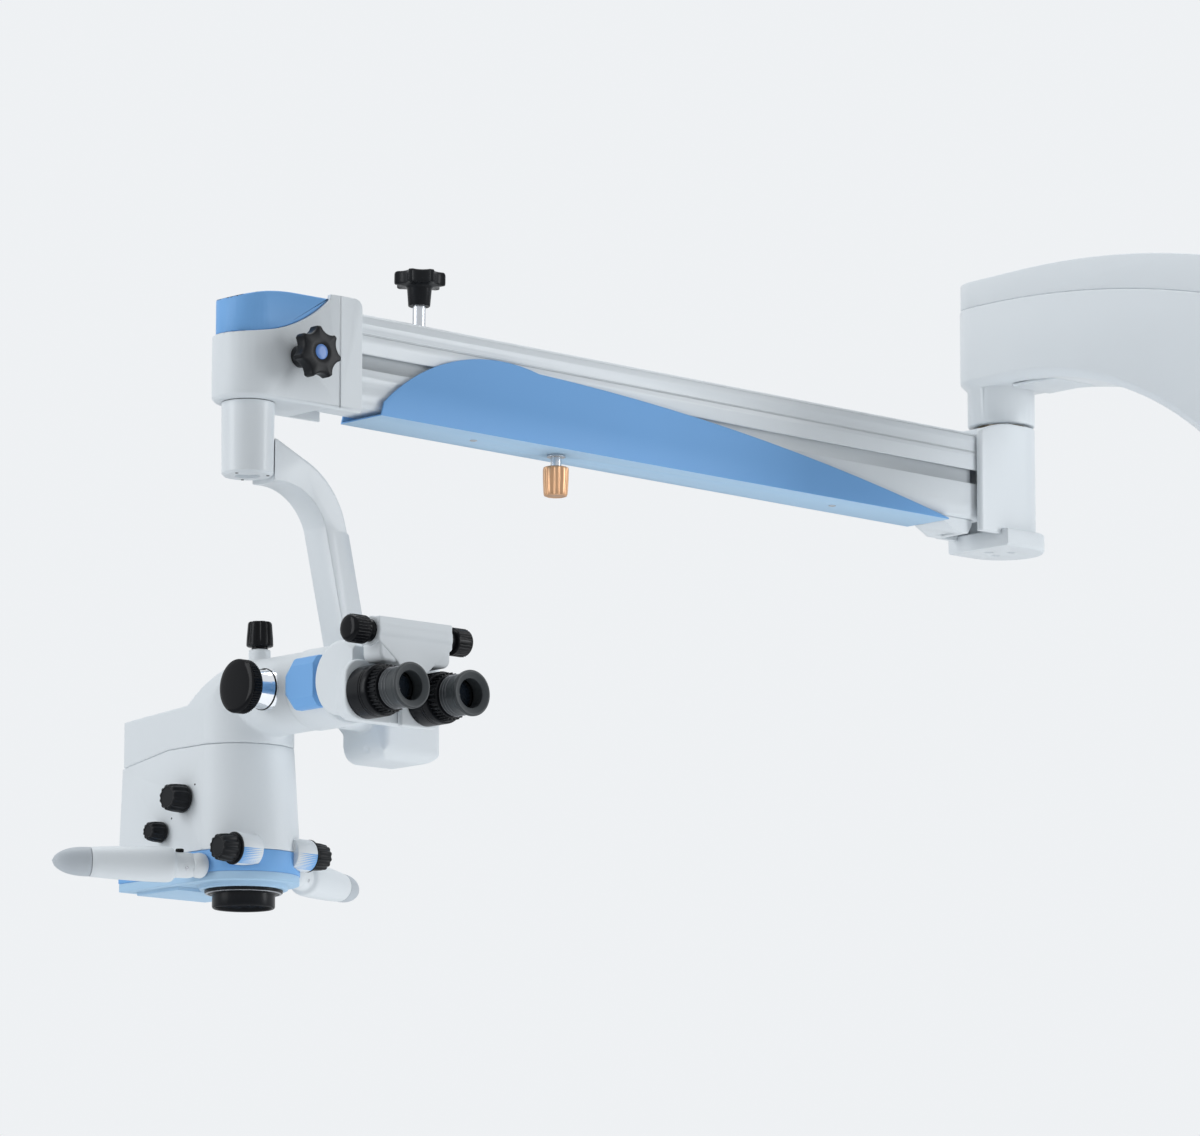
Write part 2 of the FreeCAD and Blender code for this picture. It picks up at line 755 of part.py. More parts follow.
def make_post():
    spindle = Piece("elbow_spindle", elbow)
    foot = -size.post_roof - size.elbow_gap
    washer = size.spindle_radius + size.bush_wall - 1
    rise = size.spindle_length
    spindle.revolve([
        (0, foot), (size.spindle_radius, foot),
        (size.spindle_radius, rise - size.washer_thickness), (washer, rise - size.washer_thickness),
        (washer, rise), (0, rise),
    ])

    post = Piece("post_housing", elbow)
    bottom = -size.elbow_gap - size.post_height
    post.pad(post_plan(size.post_front, size.post_half_width), bottom, size.post_height)
    post.box((-size.base_plate_front - size.seam_gap, -FAR / 2, bottom - 1),
             (FAR / 2, FAR / 2, bottom + size.post_lip), cut=True)
    post.box((-FAR / 2, -size.fork_inner, bottom - 1),
             (-size.post_slot_back, size.fork_inner, -size.post_roof - size.elbow_gap), cut=True)
    post.box((-FAR / 2, -size.fork_inner, -FAR / 4),
             (-size.post_roof_front, size.fork_inner, FAR / 4), cut=True)
    crown = -size.elbow_gap
    half_run = (size.post_front + size.post_shoulder_start) / 2
    post.pocket([
        (-size.post_front - 1, crown + 1), (-size.post_front - 1, crown - size.post_shoulder_drop),
        (-size.post_shoulder_start, crown, (-half_run, crown - size.post_shoulder_drop * 0.3)),
        (-size.post_shoulder_start, crown + 1),
    ], -FAR / 4, FAR / 2, "XZ")
    pin_seats(post, -size.rear_pivot_x, -size.rear_pivot_drop)
    post.cylinder(size.spindle_radius + size.running_gap, size.post_roof + 2,
                  (0, 0, foot - 1), cut=True)
    post.round_off(size.lower_edge_radius,
                   lambda p: near(p.x, -size.post_front) and near(abs(p.y), size.post_half_width))

    plate = Piece("post_base_plate", elbow)
    top = bottom + size.post_lip
    plate.pad(post_plan(size.base_plate_front, size.base_plate_radius),
              top - size.base_plate_thickness, size.base_plate_thickness)
    for x, y in ((-1, 0.3), (0.2, 0.9), (0.1, -0.6)):
        plate.cylinder(size.plate_hole_radius, size.plate_hole_depth + 1,
                       (x * size.plate_hole_circle, y * size.plate_hole_circle,
                        top - size.base_plate_thickness - 1), cut=True)
    plate.round_off(size.lower_wall * 0.6,
                    lambda p: near(p.z, top - size.base_plate_thickness)
                    and abs(p.x) + abs(p.y) > size.base_plate_front.value - 1
                    and (near(abs(p.y), size.base_plate_radius) or p.x > 0), bevel=True)
    pivot_pins("rear_pivot_pins", elbow, -size.rear_pivot_x, -size.rear_pivot_drop)


# Upper and lower beam, in a frame whose origin is the beam's own rear pivot

def make_upper_beam():
    beam = Piece("upper_beam", beam_up)
    half = size.upper_half_width
    eye = size.eye_radius
    long = size.link_length
    inner = half - size.upper_wall
    outline = [
        (0, eye), (-eye, size.upper_top), (-long + eye, size.upper_top), (-long, eye),
        (-long, -eye, (-long - eye, 0)), (-long + eye, -size.upper_lip),
        (-eye, -size.upper_lip), (0, -eye),
    ]
    outline[0] = (0, eye, (eye, 0))
    beam.pad(outline, -half, 2 * half, "XZ")
    beam.round_off(size.upper_wall,
                   lambda p: near(p.z, size.upper_top) and near(abs(p.y), half))
    beam.box((-long - 2 * eye, -inner, -FAR / 4), (2 * eye, inner, size.upper_top - size.upper_wall),
             cut=True)
    for x in (0, -long):
        beam.cylinder(size.pin_radius + size.running_gap, 3 * half, (x, -1.5 * half, 0), "Y", cut=True)
    for side in (-1, 1):
        depth = half - size.groove_depth
        ends = sorted([side * depth, side * (half + 1)], key=value_of)
        beam.box((-long - 2 * eye, ends[0], size.groove_height),
                 (2 * eye, ends[1], size.groove_height + size.groove_width), cut=True)
    beam.cylinder(size.lift_rod_radius + size.running_gap, size.upper_top,
                  (-lift_x, 0, size.upper_top / 2), cut=True)


def make_lower_beam():
    beam = Piece("lower_beam", beam_low)
    half = size.lower_half_width
    neck = size.lower_neck_half_width
    eye = size.eye_radius
    long = size.link_length
    beam.pad([
        (0, eye, (eye, 0)), (-eye, size.lower_step), (-long + eye, size.lower_step), (-long, eye),
        (-long, -eye, (-long - eye, 0)), (-long + eye, -size.lower_bottom),
        (-eye, -size.lower_bottom), (0, -eye),
    ], -half, 2 * half, "XZ")
    beam.round_off(size.lower_edge_radius,
                   lambda p: near(p.z, -size.lower_bottom) and near(abs(p.y), half))
    beam.pad([
        (-2 * eye, 0), (-2 * eye, size.lower_neck_top), (-long + 2 * eye, size.lower_neck_top),
        (-long + 2 * eye, 0),
    ], -neck, 2 * neck, "XZ")
    inner = neck - size.lower_wall
    beam.box((-long - 2 * eye, -inner, size.lower_wall - size.lower_bottom),
             (2 * eye, inner, size.lower_neck_top + 1), cut=True)
    for x, gap in ((0, size.running_gap), (-long, size.open_pivot_gap)):
        beam.cylinder(size.pin_radius + gap, 3 * half, (x, -1.5 * half, 0), "Y", cut=True)
    beam.cylinder(size.balance_stem_radius + size.running_gap, 2 * size.lower_wall,
                  (-balance_x, 0, -size.lower_bottom - 1), cut=True)


def make_under_cover():
    cover = Piece("under_cover", beam_low)
    half = size.cover_half_width
    low = -size.cover_bottom
    nose = low + size.cover_nose_rise
    cover.pad([
        (-size.cover_tail, low), (-cover_front, low), (-cover_front + 3, nose),
        (-cover_crest_x, size.cover_crest, (-cover_nose_x, size.cover_nose_height)),
        (-size.cover_tail, low + size.cover_sheet, (-size.cover_flank_x, size.cover_flank_height)),
    ], -half, 2 * half, "XZ")
    inner = half - size.cover_sheet
    cover.box((-FAR * 2, -inner, low + size.cover_sheet), (0, inner, FAR / 4), cut=True)
    seat = size.cover_bottom - size.lower_bottom
    for x in (cover_screw_front, size.cover_screw_rear):
        cover.cylinder(size.cover_boss_radius, seat, (-x, 0, low))
    cover.cylinder(size.balance_stem_radius + size.seam_gap, 3 * size.cover_sheet,
                   (-balance_x, 0, low - 1), cut=True)

    shoe = Piece("under_cover_end_shoe", beam_low)
    wide = size.shoe_half_width
    top = -size.lower_bottom
    rear = size.shoe_front - size.shoe_length
    shoe.pad([
        (-size.shoe_front + size.cover_boss_radius, top), (-rear, top), (-rear, top - size.shoe_slot),
        (-rear - size.shoe_slot, top - size.shoe_depth), (-rear - 4 * size.shoe_slot, top - size.shoe_depth),
        (-size.cover_tail + 1, low - 0.1), (-size.cover_tail + 1, low + size.cover_sheet),
    ], -wide, 2 * wide, "XZ")
    shoe.box((-rear - 4 * size.shoe_slot, -wide / 2, top - size.shoe_depth - 1),
             (-rear - 2 * size.shoe_slot, wide / 2, top - size.shoe_depth + size.shoe_slot), cut=True)

    spring = Piece("gas_spring", beam_low, many=True)
    lift = size.spring_height
    long = size.spring_front - size.spring_rear
    spring.cylinder(size.spring_radius, size.spring_body_length,
                    (-size.spring_front, 0, lift), "X")
    spring.cylinder(size.spring_rod_radius, long, (-size.spring_front, 0, lift), "X")
    reach = size.lower_neck_half_width - size.lower_wall - size.running_gap
    for x in (-size.spring_front, -size.spring_rear):
        spring.cylinder(size.spring_rod_radius, 2 * reach, (x, -reach, lift), "Y")
        spring.cylinder(2 * size.spring_rod_radius, size.spring_radius,
                        (x, -size.spring_radius / 2, lift), "Y")


def fluted(piece, radius, length, count, at_z, flute):
    """Flutes cut round a knob that stands on the Z axis."""
    cutter = piece.cylinder(flute, length, (radius + flute * 0.45, 0, at_z), cut=True)
    piece.polar([cutter], count)


def make_balance_adjuster():
    station = Station(*on_lower_beam(-balance_x, -size.cover_bottom),
                      size.arm_incline, (0, 1, 0))
    stem = Piece("balance_stem", station)
    inside = size.cover_bottom - size.lower_bottom + size.lower_wall
    stem.cylinder(size.balance_stem_radius, size.balance_knob_drop + inside + 6,
                  (0, 0, -size.balance_knob_drop))
    stem.cylinder(size.balance_collar_radius, 4, (0, 0, inside + 0.2))
    stem.cylinder(size.balance_collar_radius - 1, 1.5, (0, 0, -1.8))
    knob = Piece("balance_knob", station)
    base = -size.balance_knob_drop - size.balance_knob_height
    knob.cone(size.balance_knob_radius * 0.92, size.balance_knob_radius,
              size.balance_knob_height, (0, 0, base))
    knob.round_off(1.2, lambda p: near(p.z, base), bevel=True)
    fluted(knob, size.balance_knob_radius, size.balance_knob_height + 2, 10, base - 1,
           size.balance_flute_radius)


def on_lower_beam(along, up):
    """A point of the lower beam's frame, in the whole model's frame."""
    x = rear_x + along * cosine(size.arm_incline) + up * sine(size.arm_incline)
    z = lower_z - along * sine(size.arm_incline) + up * cosine(size.arm_incline)
    return x, size.column_offset, z


def on_upper_beam(along, up):
    x, y, z = on_lower_beam(along, up)
    return x, y, z + size.pivot_spacing


def star_knob(node, station):
    """Lobed head with a hub on its underside; the station lies at the hub's foot."""
    knob = Piece(node, station)
    head = size.star_hub_height
    knob.cylinder(size.star_radius, size.star_thickness, (0, 0, head))
    knob.round_off(2.5, lambda p: near(p.z, head + size.star_thickness), bevel=True)
    knob.round_off(1.5, lambda p: near(p.z, head), bevel=True)
    hollow = size.star_radius * size.star_hollow
    cutter = knob.cylinder(hollow, size.star_thickness + 2,
                           (size.star_radius + hollow - size.star_waist, 0, head - 1), cut=True)
    knob.polar([cutter], 7)
    knob.cone(size.star_hub_radius, size.star_hub_radius * 0.92, head + 1)
    return knob


def make_lift_lock():
    station = Station(*on_upper_beam(-lift_x, size.upper_top), size.arm_incline, (0, 1, 0))
    rod = Piece("lift_lock_rod", station)
    rod.cylinder(size.lift_rod_radius, size.lift_rod_length,
                 (0, 0, -size.upper_wall - 5))
    rod.cylinder(size.lift_rod_radius + 3, 3, (0, 0, -size.upper_wall - 3.2))
    top = size.lift_rod_length - size.upper_wall - 5
    knob = star_knob("lift_lock_knob",
                     Station(*on_upper_beam(-lift_x, size.upper_top + top - 8),
                             size.arm_incline, (0, 1, 0)))
    knob.cylinder(size.lift_rod_radius + size.running_gap, 8, cut=True)


# Front block

def cap_line(rise):
    """The curve between the block's housing and its cap, lifted by a gap."""
    return [(-2 * size.block_half_width, size.cap_front_height - 4 + rise),
            (-size.block_half_width, size.cap_front_height + rise),
            (size.block_slot_front, size.cap_rear_height + rise,
             (size.cap_mid_x, size.cap_mid_height + rise))]


def block_plan(inset, rear):
    half = size.block_half_width - inset
    return [(rear, -half), (rear, half), (0, half), (0, -half, (-half, 0))]


def make_block():
    block = Piece("block_housing", front)
    block.pad(block_plan(0, size.block_rear), 0, size.block_height)
    block.round_off(size.block_edge_radius * 0.75,
                    lambda p: near(p.z, 0) and (near(abs(p.y), size.block_half_width) or p.x < 1),
                    bevel=True)
    block.pocket(cap_line(0) + [(size.block_slot_front, FAR / 2), (-2 * size.block_half_width, FAR / 2)],
                 -FAR / 4, FAR / 2, "XZ")
    block.box((size.block_slot_front, -size.fork_inner, -FAR / 4),
              (FAR / 2, size.fork_inner, FAR / 2), cut=True)
    block.round_off(2 * size.block_edge_radius,
                    lambda p: near(p.z, size.block_height) and near(p.x, size.block_rear))
    pin_seats(block, size.block_pivot_x, size.block_pivot_z)
    block.cylinder(size.swivel_radius + size.running_gap, size.swivel_rise + 2, (0, 0, -1), cut=True)
    block.cylinder(size.swivel_washer_radius + size.seam_gap, FAR / 4, (0, 0, size.swivel_rise), cut=True)
    block.cylinder(size.brake_stud_radius + size.running_gap, size.brake_stud_length - size.brake_reach,
                   (size.brake_x, -size.block_half_width - size.seam_gap, size.brake_z), "Y", cut=True)
    for side in (-1, 1):
        ends = sorted([side * (size.block_half_width - 0.5), side * (size.block_half_width + 1)],
                      key=value_of)
        block.box((size.crease_x, ends[0], -1), (size.crease_x + size.groove_width, ends[1], FAR / 2),
                  cut=True)

    cap = Piece("block_cap", front)
    gap = size.seam_gap
    cap.pad(block_plan(size.cap_inset, size.block_slot_front - gap), 0, size.cap_top)
    cap.pocket([(FAR, -FAR)] + [(-2 * size.block_half_width, -FAR)] + cap_line(gap)
               + [(FAR, size.cap_rear_height + gap)], -FAR / 4, FAR / 2, "XZ")
    cap.pocket([
        (-2 * size.block_half_width, size.cap_nose_top - 3), (-size.block_half_width, size.cap_nose_top),
        (size.cap_crest_x, size.cap_top, (0, size.cap_top - 2)),
        (size.cap_crest_x, FAR), (-2 * size.block_half_width, FAR),
    ], -FAR / 4, FAR / 2, "XZ")
    cap.cylinder(size.swivel_washer_radius + size.seam_gap, size.swivel_rise + 10, cut=True)
    pivot_pins("front_pivot_pins", front, size.block_pivot_x, size.block_pivot_z)

    face = size.column_offset - size.block_half_width - size.brake_reach
    brake = Station(front_x + size.brake_x, face + 9.7, front_z + size.brake_z, 90, (1, 0, 0))
    knob = star_knob("brake_knob", brake)
    total = size.star_hub_height + size.star_thickness
    knob.cylinder(size.brake_disc_radius + size.running_gap, 4, (0, 0, total - 2), cut=True)
    knob.cylinder(size.brake_stud_radius, size.brake_stud_length - size.brake_reach,
                  (0, 0, size.brake_reach - size.brake_stud_length))
    disc = Piece("brake_knob_disc", brake)
    disc.cylinder(size.brake_disc_radius, 2.6, (0, 0, total - 2))


# Swivel, carrier arm and carrier box

def make_carrier():
    sleeve = Piece("swivel_sleeve", front)
    inner = size.swivel_radius + size.running_gap
    long = -size.sleeve_length
    floor = long + size.sleeve_floor
    recess = long + size.sleeve_recess_depth
    sleeve.revolve([
        (inner, -0.6), (size.sleeve_radius, -0.6),
        (size.sleeve_foot_radius, long + size.sleeve_chamfer),
        (size.sleeve_foot_radius - size.sleeve_chamfer, long), (size.sleeve_recess_radius, long),
        (size.sleeve_recess_radius, recess), (0, recess), (0, floor), (inner, floor),
    ])
    spindle = Piece("swivel_spindle", front)
    rise = size.swivel_rise
    spindle.revolve([
        (0, floor), (size.swivel_radius, floor), (size.swivel_radius, rise + size.seam_gap),
        (size.swivel_washer_radius, rise + size.seam_gap), (size.swivel_washer_radius, rise + 3),
        (size.swivel_radius * 0.7, rise + 3), (size.swivel_radius * 0.7, rise + 7), (0, rise + 7),
    ])

    arm = Piece("carrier_arm", front)
    half = size.carrier_half_width
    low = size.carrier_top + size.carrier_root_height
    outer = size.carrier_outer
    inside = outer - size.carrier_thickness
    bend = -size.carrier_bend
    arm.pad([
        (10, -low), (10, -size.carrier_top), (size.sleeve_radius, -size.carrier_top),
        (size.carrier_elbow_x, -size.carrier_elbow_drop),
        (outer, bend, (outer - size.carrier_bulge, bend + 2.2 * size.carrier_bulge)), (inside, bend),
        (size.sleeve_radius + 5, -low, (inside - size.carrier_bulge, bend + 1.5 * size.carrier_bulge)),
    ], -half, 2 * half, "XZ")
    lean = size.carrier_lean
    foot = bend - size.carrier_leg
    leg = [(bend, rectangle(inside, -half, outer, half)),
           (foot, rectangle(inside, -half - lean, outer - 1, half - lean))]
    arm.loft(leg)
    arm.round_off(size.carrier_edge_radius,
                  lambda p: p.x > 30 and p.z > bend.value - 1 and (near(p.y, -half) or near(p.y, half))
                  and not (near(p.z, bend) and near(p.x, (inside + outer) / 2)))
    arm.cylinder(size.sleeve_radius + size.seam_gap, FAR / 2, (0, 0, -FAR / 2 - 10), cut=True)

    case = Piece("carrier_box", front)
    left = size.box_x
    bottom = foot - size.box_height
    right = left + size.box_width
    corner = size.box_corner_radius
    bulge = corner * (1 - math.sqrt(0.5))
    case.pad([
        (left, foot), (left, bottom + corner),
        (left + corner, bottom, (left + bulge, bottom + bulge)), (right - corner, bottom),
        (right, bottom + corner, (right - bulge, bottom + bulge)), (right, foot),
    ], -size.box_front, size.box_front - size.box_head_back, "XZ")
    case.pocket([
        (-size.box_head_back, foot + 1), (-size.box_front, foot + 1), (-size.box_front, bottom + corner),
        (-size.box_front + corner, bottom, (-size.box_front + bulge, bottom + bulge)),
        (-size.box_back, bottom), (-size.box_back, foot - size.box_head_height - 12),
        (-size.box_head_back, foot - size.box_head_height + 12),
    ], -FAR / 2, FAR, "YZ", around=True)
    soft = size.box_face_radius
    turn = soft * (1 - math.sqrt(0.5))
    face = -size.box_front
    case.pocket([
        (left, 0), (left, face + soft), (left + soft, face, (left + turn, face + turn)),
        (right - soft, face), (right, face + soft, (right - turn, face + turn)), (right, 0),
    ], bottom - 1, size.box_height + 2, "XY", around=True)
    axle_y, axle_z = -size.tilt_y, -size.tilt_z
    case.cylinder(size.tilt_boss_radius, left - size.tilt_boss_x + 1,
                  (size.tilt_boss_x, axle_y, axle_z), "X")
    case.cylinder(size.tilt_axle_radius + size.running_gap, size.tilt_axle_depth + left - size.tilt_boss_x,
                  (size.tilt_boss_x - 1, axle_y, axle_z), "X", cut=True)
    case.cylinder(size.jack_radius, size.jack_depth + 1,
                  (left - 1, axle_y - size.jack_radius, axle_z - size.jack_drop), "X", cut=True)

    axle = Piece("tilt_axle", front)
    reach = size.tilt_boss_x - size.neck_radius + size.tilt_axle_depth / 4
    axle.cylinder(size.tilt_axle_radius, reach + size.tilt_axle_depth + left - size.tilt_boss_x - 1.2,
                  (size.tilt_boss_x - reach, axle_y, axle_z), "X")


def rectangle(x0, y0, x1, y1):
    return [(x0, y0), (x1, y0), (x1, y1), (x0, y1)]


# Microscope head

def head_section(inset, foot):
    """Plan of the head: an arc for the nose, straight flanks, a flat back."""
    half = (size.head_foot_half_width if foot else size.head_top_half_width) - inset
    nose = (size.head_foot_front if foot else size.head_top_front) - inset
    rear = (size.head_foot_rear if foot else size.head_rear) - inset
    return [(half, 0, (0, -nose)), (half, rear), (-half, rear), (-half, 0)]


def make_head():
    seam = -size.head_seam
    foot = -size.head_foot
    drop = seam - size.head_seam_drop
    rear_line = [(size.head_seam_bend, seam), (FAR, drop - 30)]
    neck_z = -size.tilt_z

    upper = Piece("head_upper_shell", front)
    top = neck_z + size.neck_radius + size.shoulder_rise
    flat = top - size.neck_radius - 5
    flank = size.head_top_half_width
    upper.pad(head_section(0, False), drop, top - drop)
    upper.pocket([(flank, drop - 10), (flank, neck_z - 8), (-flank, neck_z - 8, (0, top)),
                  (-flank, drop - 10)], -FAR / 2, FAR, "XZ", around=True)
    upper.pocket([
        (-size.shoulder_end - 3, top + 1), (-size.shoulder_end, top - 2), (size.shoulder_start, flat),
        (size.head_rear, flat - 5.5), (FAR / 2, flat - 5.5), (FAR / 2, top + 1),
    ], -FAR / 4, FAR / 2, "YZ")
    upper.pocket([
        (-FAR / 2, top + 1), (-FAR / 2, flat - 4), (-size.head_top_front + 6, flat - 4),
        (-size.shoulder_end, top + 1),
    ], -FAR / 4, FAR / 2, "YZ")
    gap = size.seam_gap
    upper.pocket([
        (-FAR / 2, drop - 5), (-FAR / 2, seam + gap), (size.head_seam_bend, seam + gap),
        (size.head_rear + 1, drop + gap), (size.head_rear + 1, drop - 5),
    ], -FAR / 4, FAR / 2, "YZ")
    upper.cylinder(size.neck_radius, size.neck_front - size.shoulder_end,
                   (0, -size.neck_front, neck_z), "Y")
    upper.cylinder(size.clamp_boss_radius, size.tilt_z - size.clamp_boss_height,
                   (0, -size.clamp_y, neck_z))
    upper.cylinder(size.tilt_boss_radius, size.tilt_boss_x - gap, (0, -size.tilt_y, neck_z), "X")
    upper.cylinder(size.spigot_radius + size.running_gap, size.spigot_length + 2,
                   (0, -size.neck_front - 1, neck_z), "Y", cut=True)
    upper.cylinder(size.tilt_axle_radius + size.running_gap, size.tilt_boss_x,
                   (size.neck_radius - size.tilt_axle_depth / 4 - 0.5, -size.tilt_y, neck_z), "X", cut=True)
    upper.cylinder(size.tilt_stud_radius + size.running_gap, 20,
                   (-size.neck_radius - 5, -size.tilt_y, neck_z), "X", cut=True)
    upper.cylinder(size.tilt_stud_radius - 1 + size.running_gap, 15,
                   (0, -size.clamp_y, -size.clamp_boss_height - 12), cut=True)

    lower = Piece("head_lower_shell", front)
    lower.loft([(foot, head_section(0, True)), (seam, head_section(0, False))])
    lower.pocket([
        (size.head_seam_bend, seam), (size.head_rear + 3, drop), (FAR / 2, drop), (FAR / 2, seam + 20),
        (size.head_seam_bend, seam + 20),
    ], -FAR / 4, FAR / 2, "YZ")
    boss = size.focus_base_x - size.focus_boss_root
    lower.pocket(head_section(size.head_wall, False), foot - 1, seam - foot + 2)
    for x in (-size.focus_base_x, size.focus_boss_root):
        lower.cylinder(size.focus_boss_radius, boss, (x, -size.focus_y, -size.focus_z), "X")
    shafts = ((size.shaft_radius, size.magnify_y, size.magnify_z, 2.0),
              (size.shaft_radius - 1, -size.focus_y, size.focus_z, 2.0))
    for radius, y, z, ends in shafts:
        lower.cylinder(radius + size.running_gap, FAR / 2, (-FAR / 4, y, -z), "X", cut=True)
    lower.cylinder(size.shaft_radius - 1 + size.running_gap, FAR / 4,
                   (-FAR / 4, size.filter_y, -size.filter_z), "X", cut=True)

    skirt = Piece("head_skirt", front)
    skirt_foot = foot - size.skirt_height
    skirt.pad(head_section(0, True), skirt_foot, size.skirt_height - size.seam_gap)
    skirt.pocket(head_section(size.head_wall, True), skirt_foot - 1, size.skirt_height + 2)
    side_cut = FAR / 8
    for x in (-size.focus_boss_root - side_cut, size.focus_boss_root):
        skirt.cylinder(size.focus_boss_radius + size.running_gap, side_cut,
                       (x, -size.focus_y, -size.focus_z), "X", cut=True)
    skirt.cylinder(size.handle_stub_radius + size.running_gap, FAR / 2,
                   (-FAR / 4, -size.handle_y, -size.handle_z), "X", cut=True)

    plate = Piece("head_base_plate", front)
    plate_foot = skirt_foot - size.base_plate_drop
    plate.pad(head_section(0.4, True), plate_foot, size.base_plate_drop)
    plate.cylinder(size.lens_ring_radius, size.lens_ring_drop, (0, 0, skirt_foot - size.lens_ring_drop))
    plate.cylinder(size.lens_bore_radius, FAR / 4, (0, 0, skirt_foot - FAR / 8), cut=True)
    half = size.head_foot_half_width - 10
    plate.box((-half, size.lens_ring_radius + 4, plate_foot - 3),
              (half, size.head_foot_rear - 12, plate_foot + 0.5))

    ring_foot = skirt_foot - size.lens_ring_drop
    barrel = Piece("objective_barrel", front)
    bore = size.barrel_radius - size.barrel_wall
    flange = ring_foot - size.flange_thickness
    mouth = ring_foot - size.barrel_length
    barrel.revolve([
        (bore, ring_foot), (size.flange_radius, ring_foot), (size.flange_radius, flange),
        (size.barrel_radius, flange - 1), (size.barrel_radius, mouth), (bore, mouth),
    ])
    lens = Piece("objective_lens", front)
    lens.cylinder(bore - size.running_gap, size.lens_thickness, (0, 0, mouth + size.lens_recess))
    cell = Piece("focus_lens_cell", front)
    outer = size.lens_bore_radius - size.running_gap
    cell_foot = skirt_foot - size.lens_cell_height / 2
    cell.revolve([
        (outer - size.lens_cell_wall, cell_foot), (outer, cell_foot),
        (outer, cell_foot + size.lens_cell_height), (outer - size.lens_cell_wall, cell_foot + size.lens_cell_height),
    ])
    cell.cylinder(outer - size.lens_cell_wall + 1, size.lens_thickness, (0, 0, cell_foot + 4))


def make_head_knobs():
    reach = size.head_top_half_width + (size.head_foot_half_width - size.head_top_half_width) * 0.55
    drum = Piece("magnification_drum", front)
    drum.cylinder(size.drum_radius, 2 * size.drum_half_length,
                  (-size.drum_half_length, size.magnify_y, -size.magnify_z), "X")
    for x in (-1, 1):
        drum.cylinder(size.drum_window_radius, 4 * size.drum_radius,
                      (x * size.drum_half_length / 2, size.magnify_y, -size.magnify_z - 2 * size.drum_radius),
                      cut=True)
    drum.cylinder(size.shaft_radius, 2 * (reach - 0.2),
                  (-reach + 0.2, size.magnify_y, -size.magnify_z), "X")

    head_knob_pair("magnification_knobs", reach, size.magnify_y, size.magnify_z,
                   size.magnify_radius, size.magnify_length, (-1, 1), 8)
    head_knob_pair("filter_knob", size.head_foot_half_width - 0.3, size.filter_y, size.filter_z,
                   size.filter_radius, size.filter_length, (-1,), 8)
    focus = head_knob_pair("focus_knobs", size.focus_base_x, -size.focus_y, size.focus_z,
                           size.focus_radius, size.focus_length, (-1, 1), 8)
    return focus


def ribbed_at(piece, side, base_x, y, z, radius, length, count):
    """A ribbed knob on the X axis, outward from its base on one side."""
    low = base_x if side > 0 else -(base_x + length)
    piece.cylinder(radius * 0.9, length, (low, y, -z), "X")
    rib_low = low + (2.5 if side > 0 else 1)
    for i in range(count):
        turn = 360.0 * i / count
        centre = (y + radius * 0.8 * cosine(turn), -z + radius * 0.8 * sine(turn))
        piece.cylinder(radius * 0.2, length - 3.5, (rib_low, centre[0], centre[1]), "X")


def head_knob_pair(node, base, y, z, radius, length, sides, count):
    knob = Piece(node, front, many=True)
    for side in sides:
        ribbed_at(knob, side, base + size.seam_gap, y, z, radius, length, count)
    if node == "focus_knobs":
        span = base + 2
        knob.cylinder(size.shaft_radius - 1, 2 * span, (-span, y, -z), "X")
    if node == "filter_knob":
        stub = 2 * size.head_wall
        knob.cylinder(size.shaft_radius - 1, stub + 2, (-base - 2, y, -z), "X")
    return knob


def make_neck_knobs():
    y, z = -size.tilt_y, -size.tilt_z
    collar = Piece("tilt_knob_collar", front)
    collar_end = size.neck_radius + size.tilt_collar_length
    collar.cylinder(size.tilt_collar_radius, size.tilt_collar_length, (-collar_end, y, z), "X")
    collar.cylinder(size.neck_radius + size.running_gap, FAR / 4, (0, y - FAR / 8, z), "Y", cut=True)
    collar.cylinder(size.tilt_stud_radius + size.running_gap, FAR / 4, (-FAR / 8, y, z), "X", cut=True)

    station = Station(front_x - collar_end - size.seam_gap, size.column_offset + y, front_z + z, -90, (0, 1, 0))
    knob = Piece("tilt_knob", station)
    thick = size.tilt_knob_thickness
    radius = size.tilt_knob_radius
    stud = size.tilt_collar_length + 12
    knob.revolve([
        (0, -stud), (size.tilt_stud_radius, -stud), (size.tilt_stud_radius, 0), (radius - 2, 0),
        (radius, 1.5), (radius, thick - 3), (radius - 2.5, thick - 1), (radius / 2, thick - 0.3),
        (0, thick),
    ])

    clamp = Piece("tube_clamp_knob", Station(front_x, size.column_offset - size.clamp_y,
                                             front_z - size.clamp_boss_height + size.seam_gap))
    high = size.clamp_knob_height
    wide = size.clamp_knob_radius
    clamp.cone(wide * 0.93, wide, high)
    clamp.round_off(1.2, lambda p: near(p.z, high), bevel=True)
    fluted(clamp, wide, high + 2, 8, 4.0, 2 * size.flute_depth)
    clamp.cylinder(size.tilt_stud_radius - 1, 12, (0, 0, -11.5))


# Handles

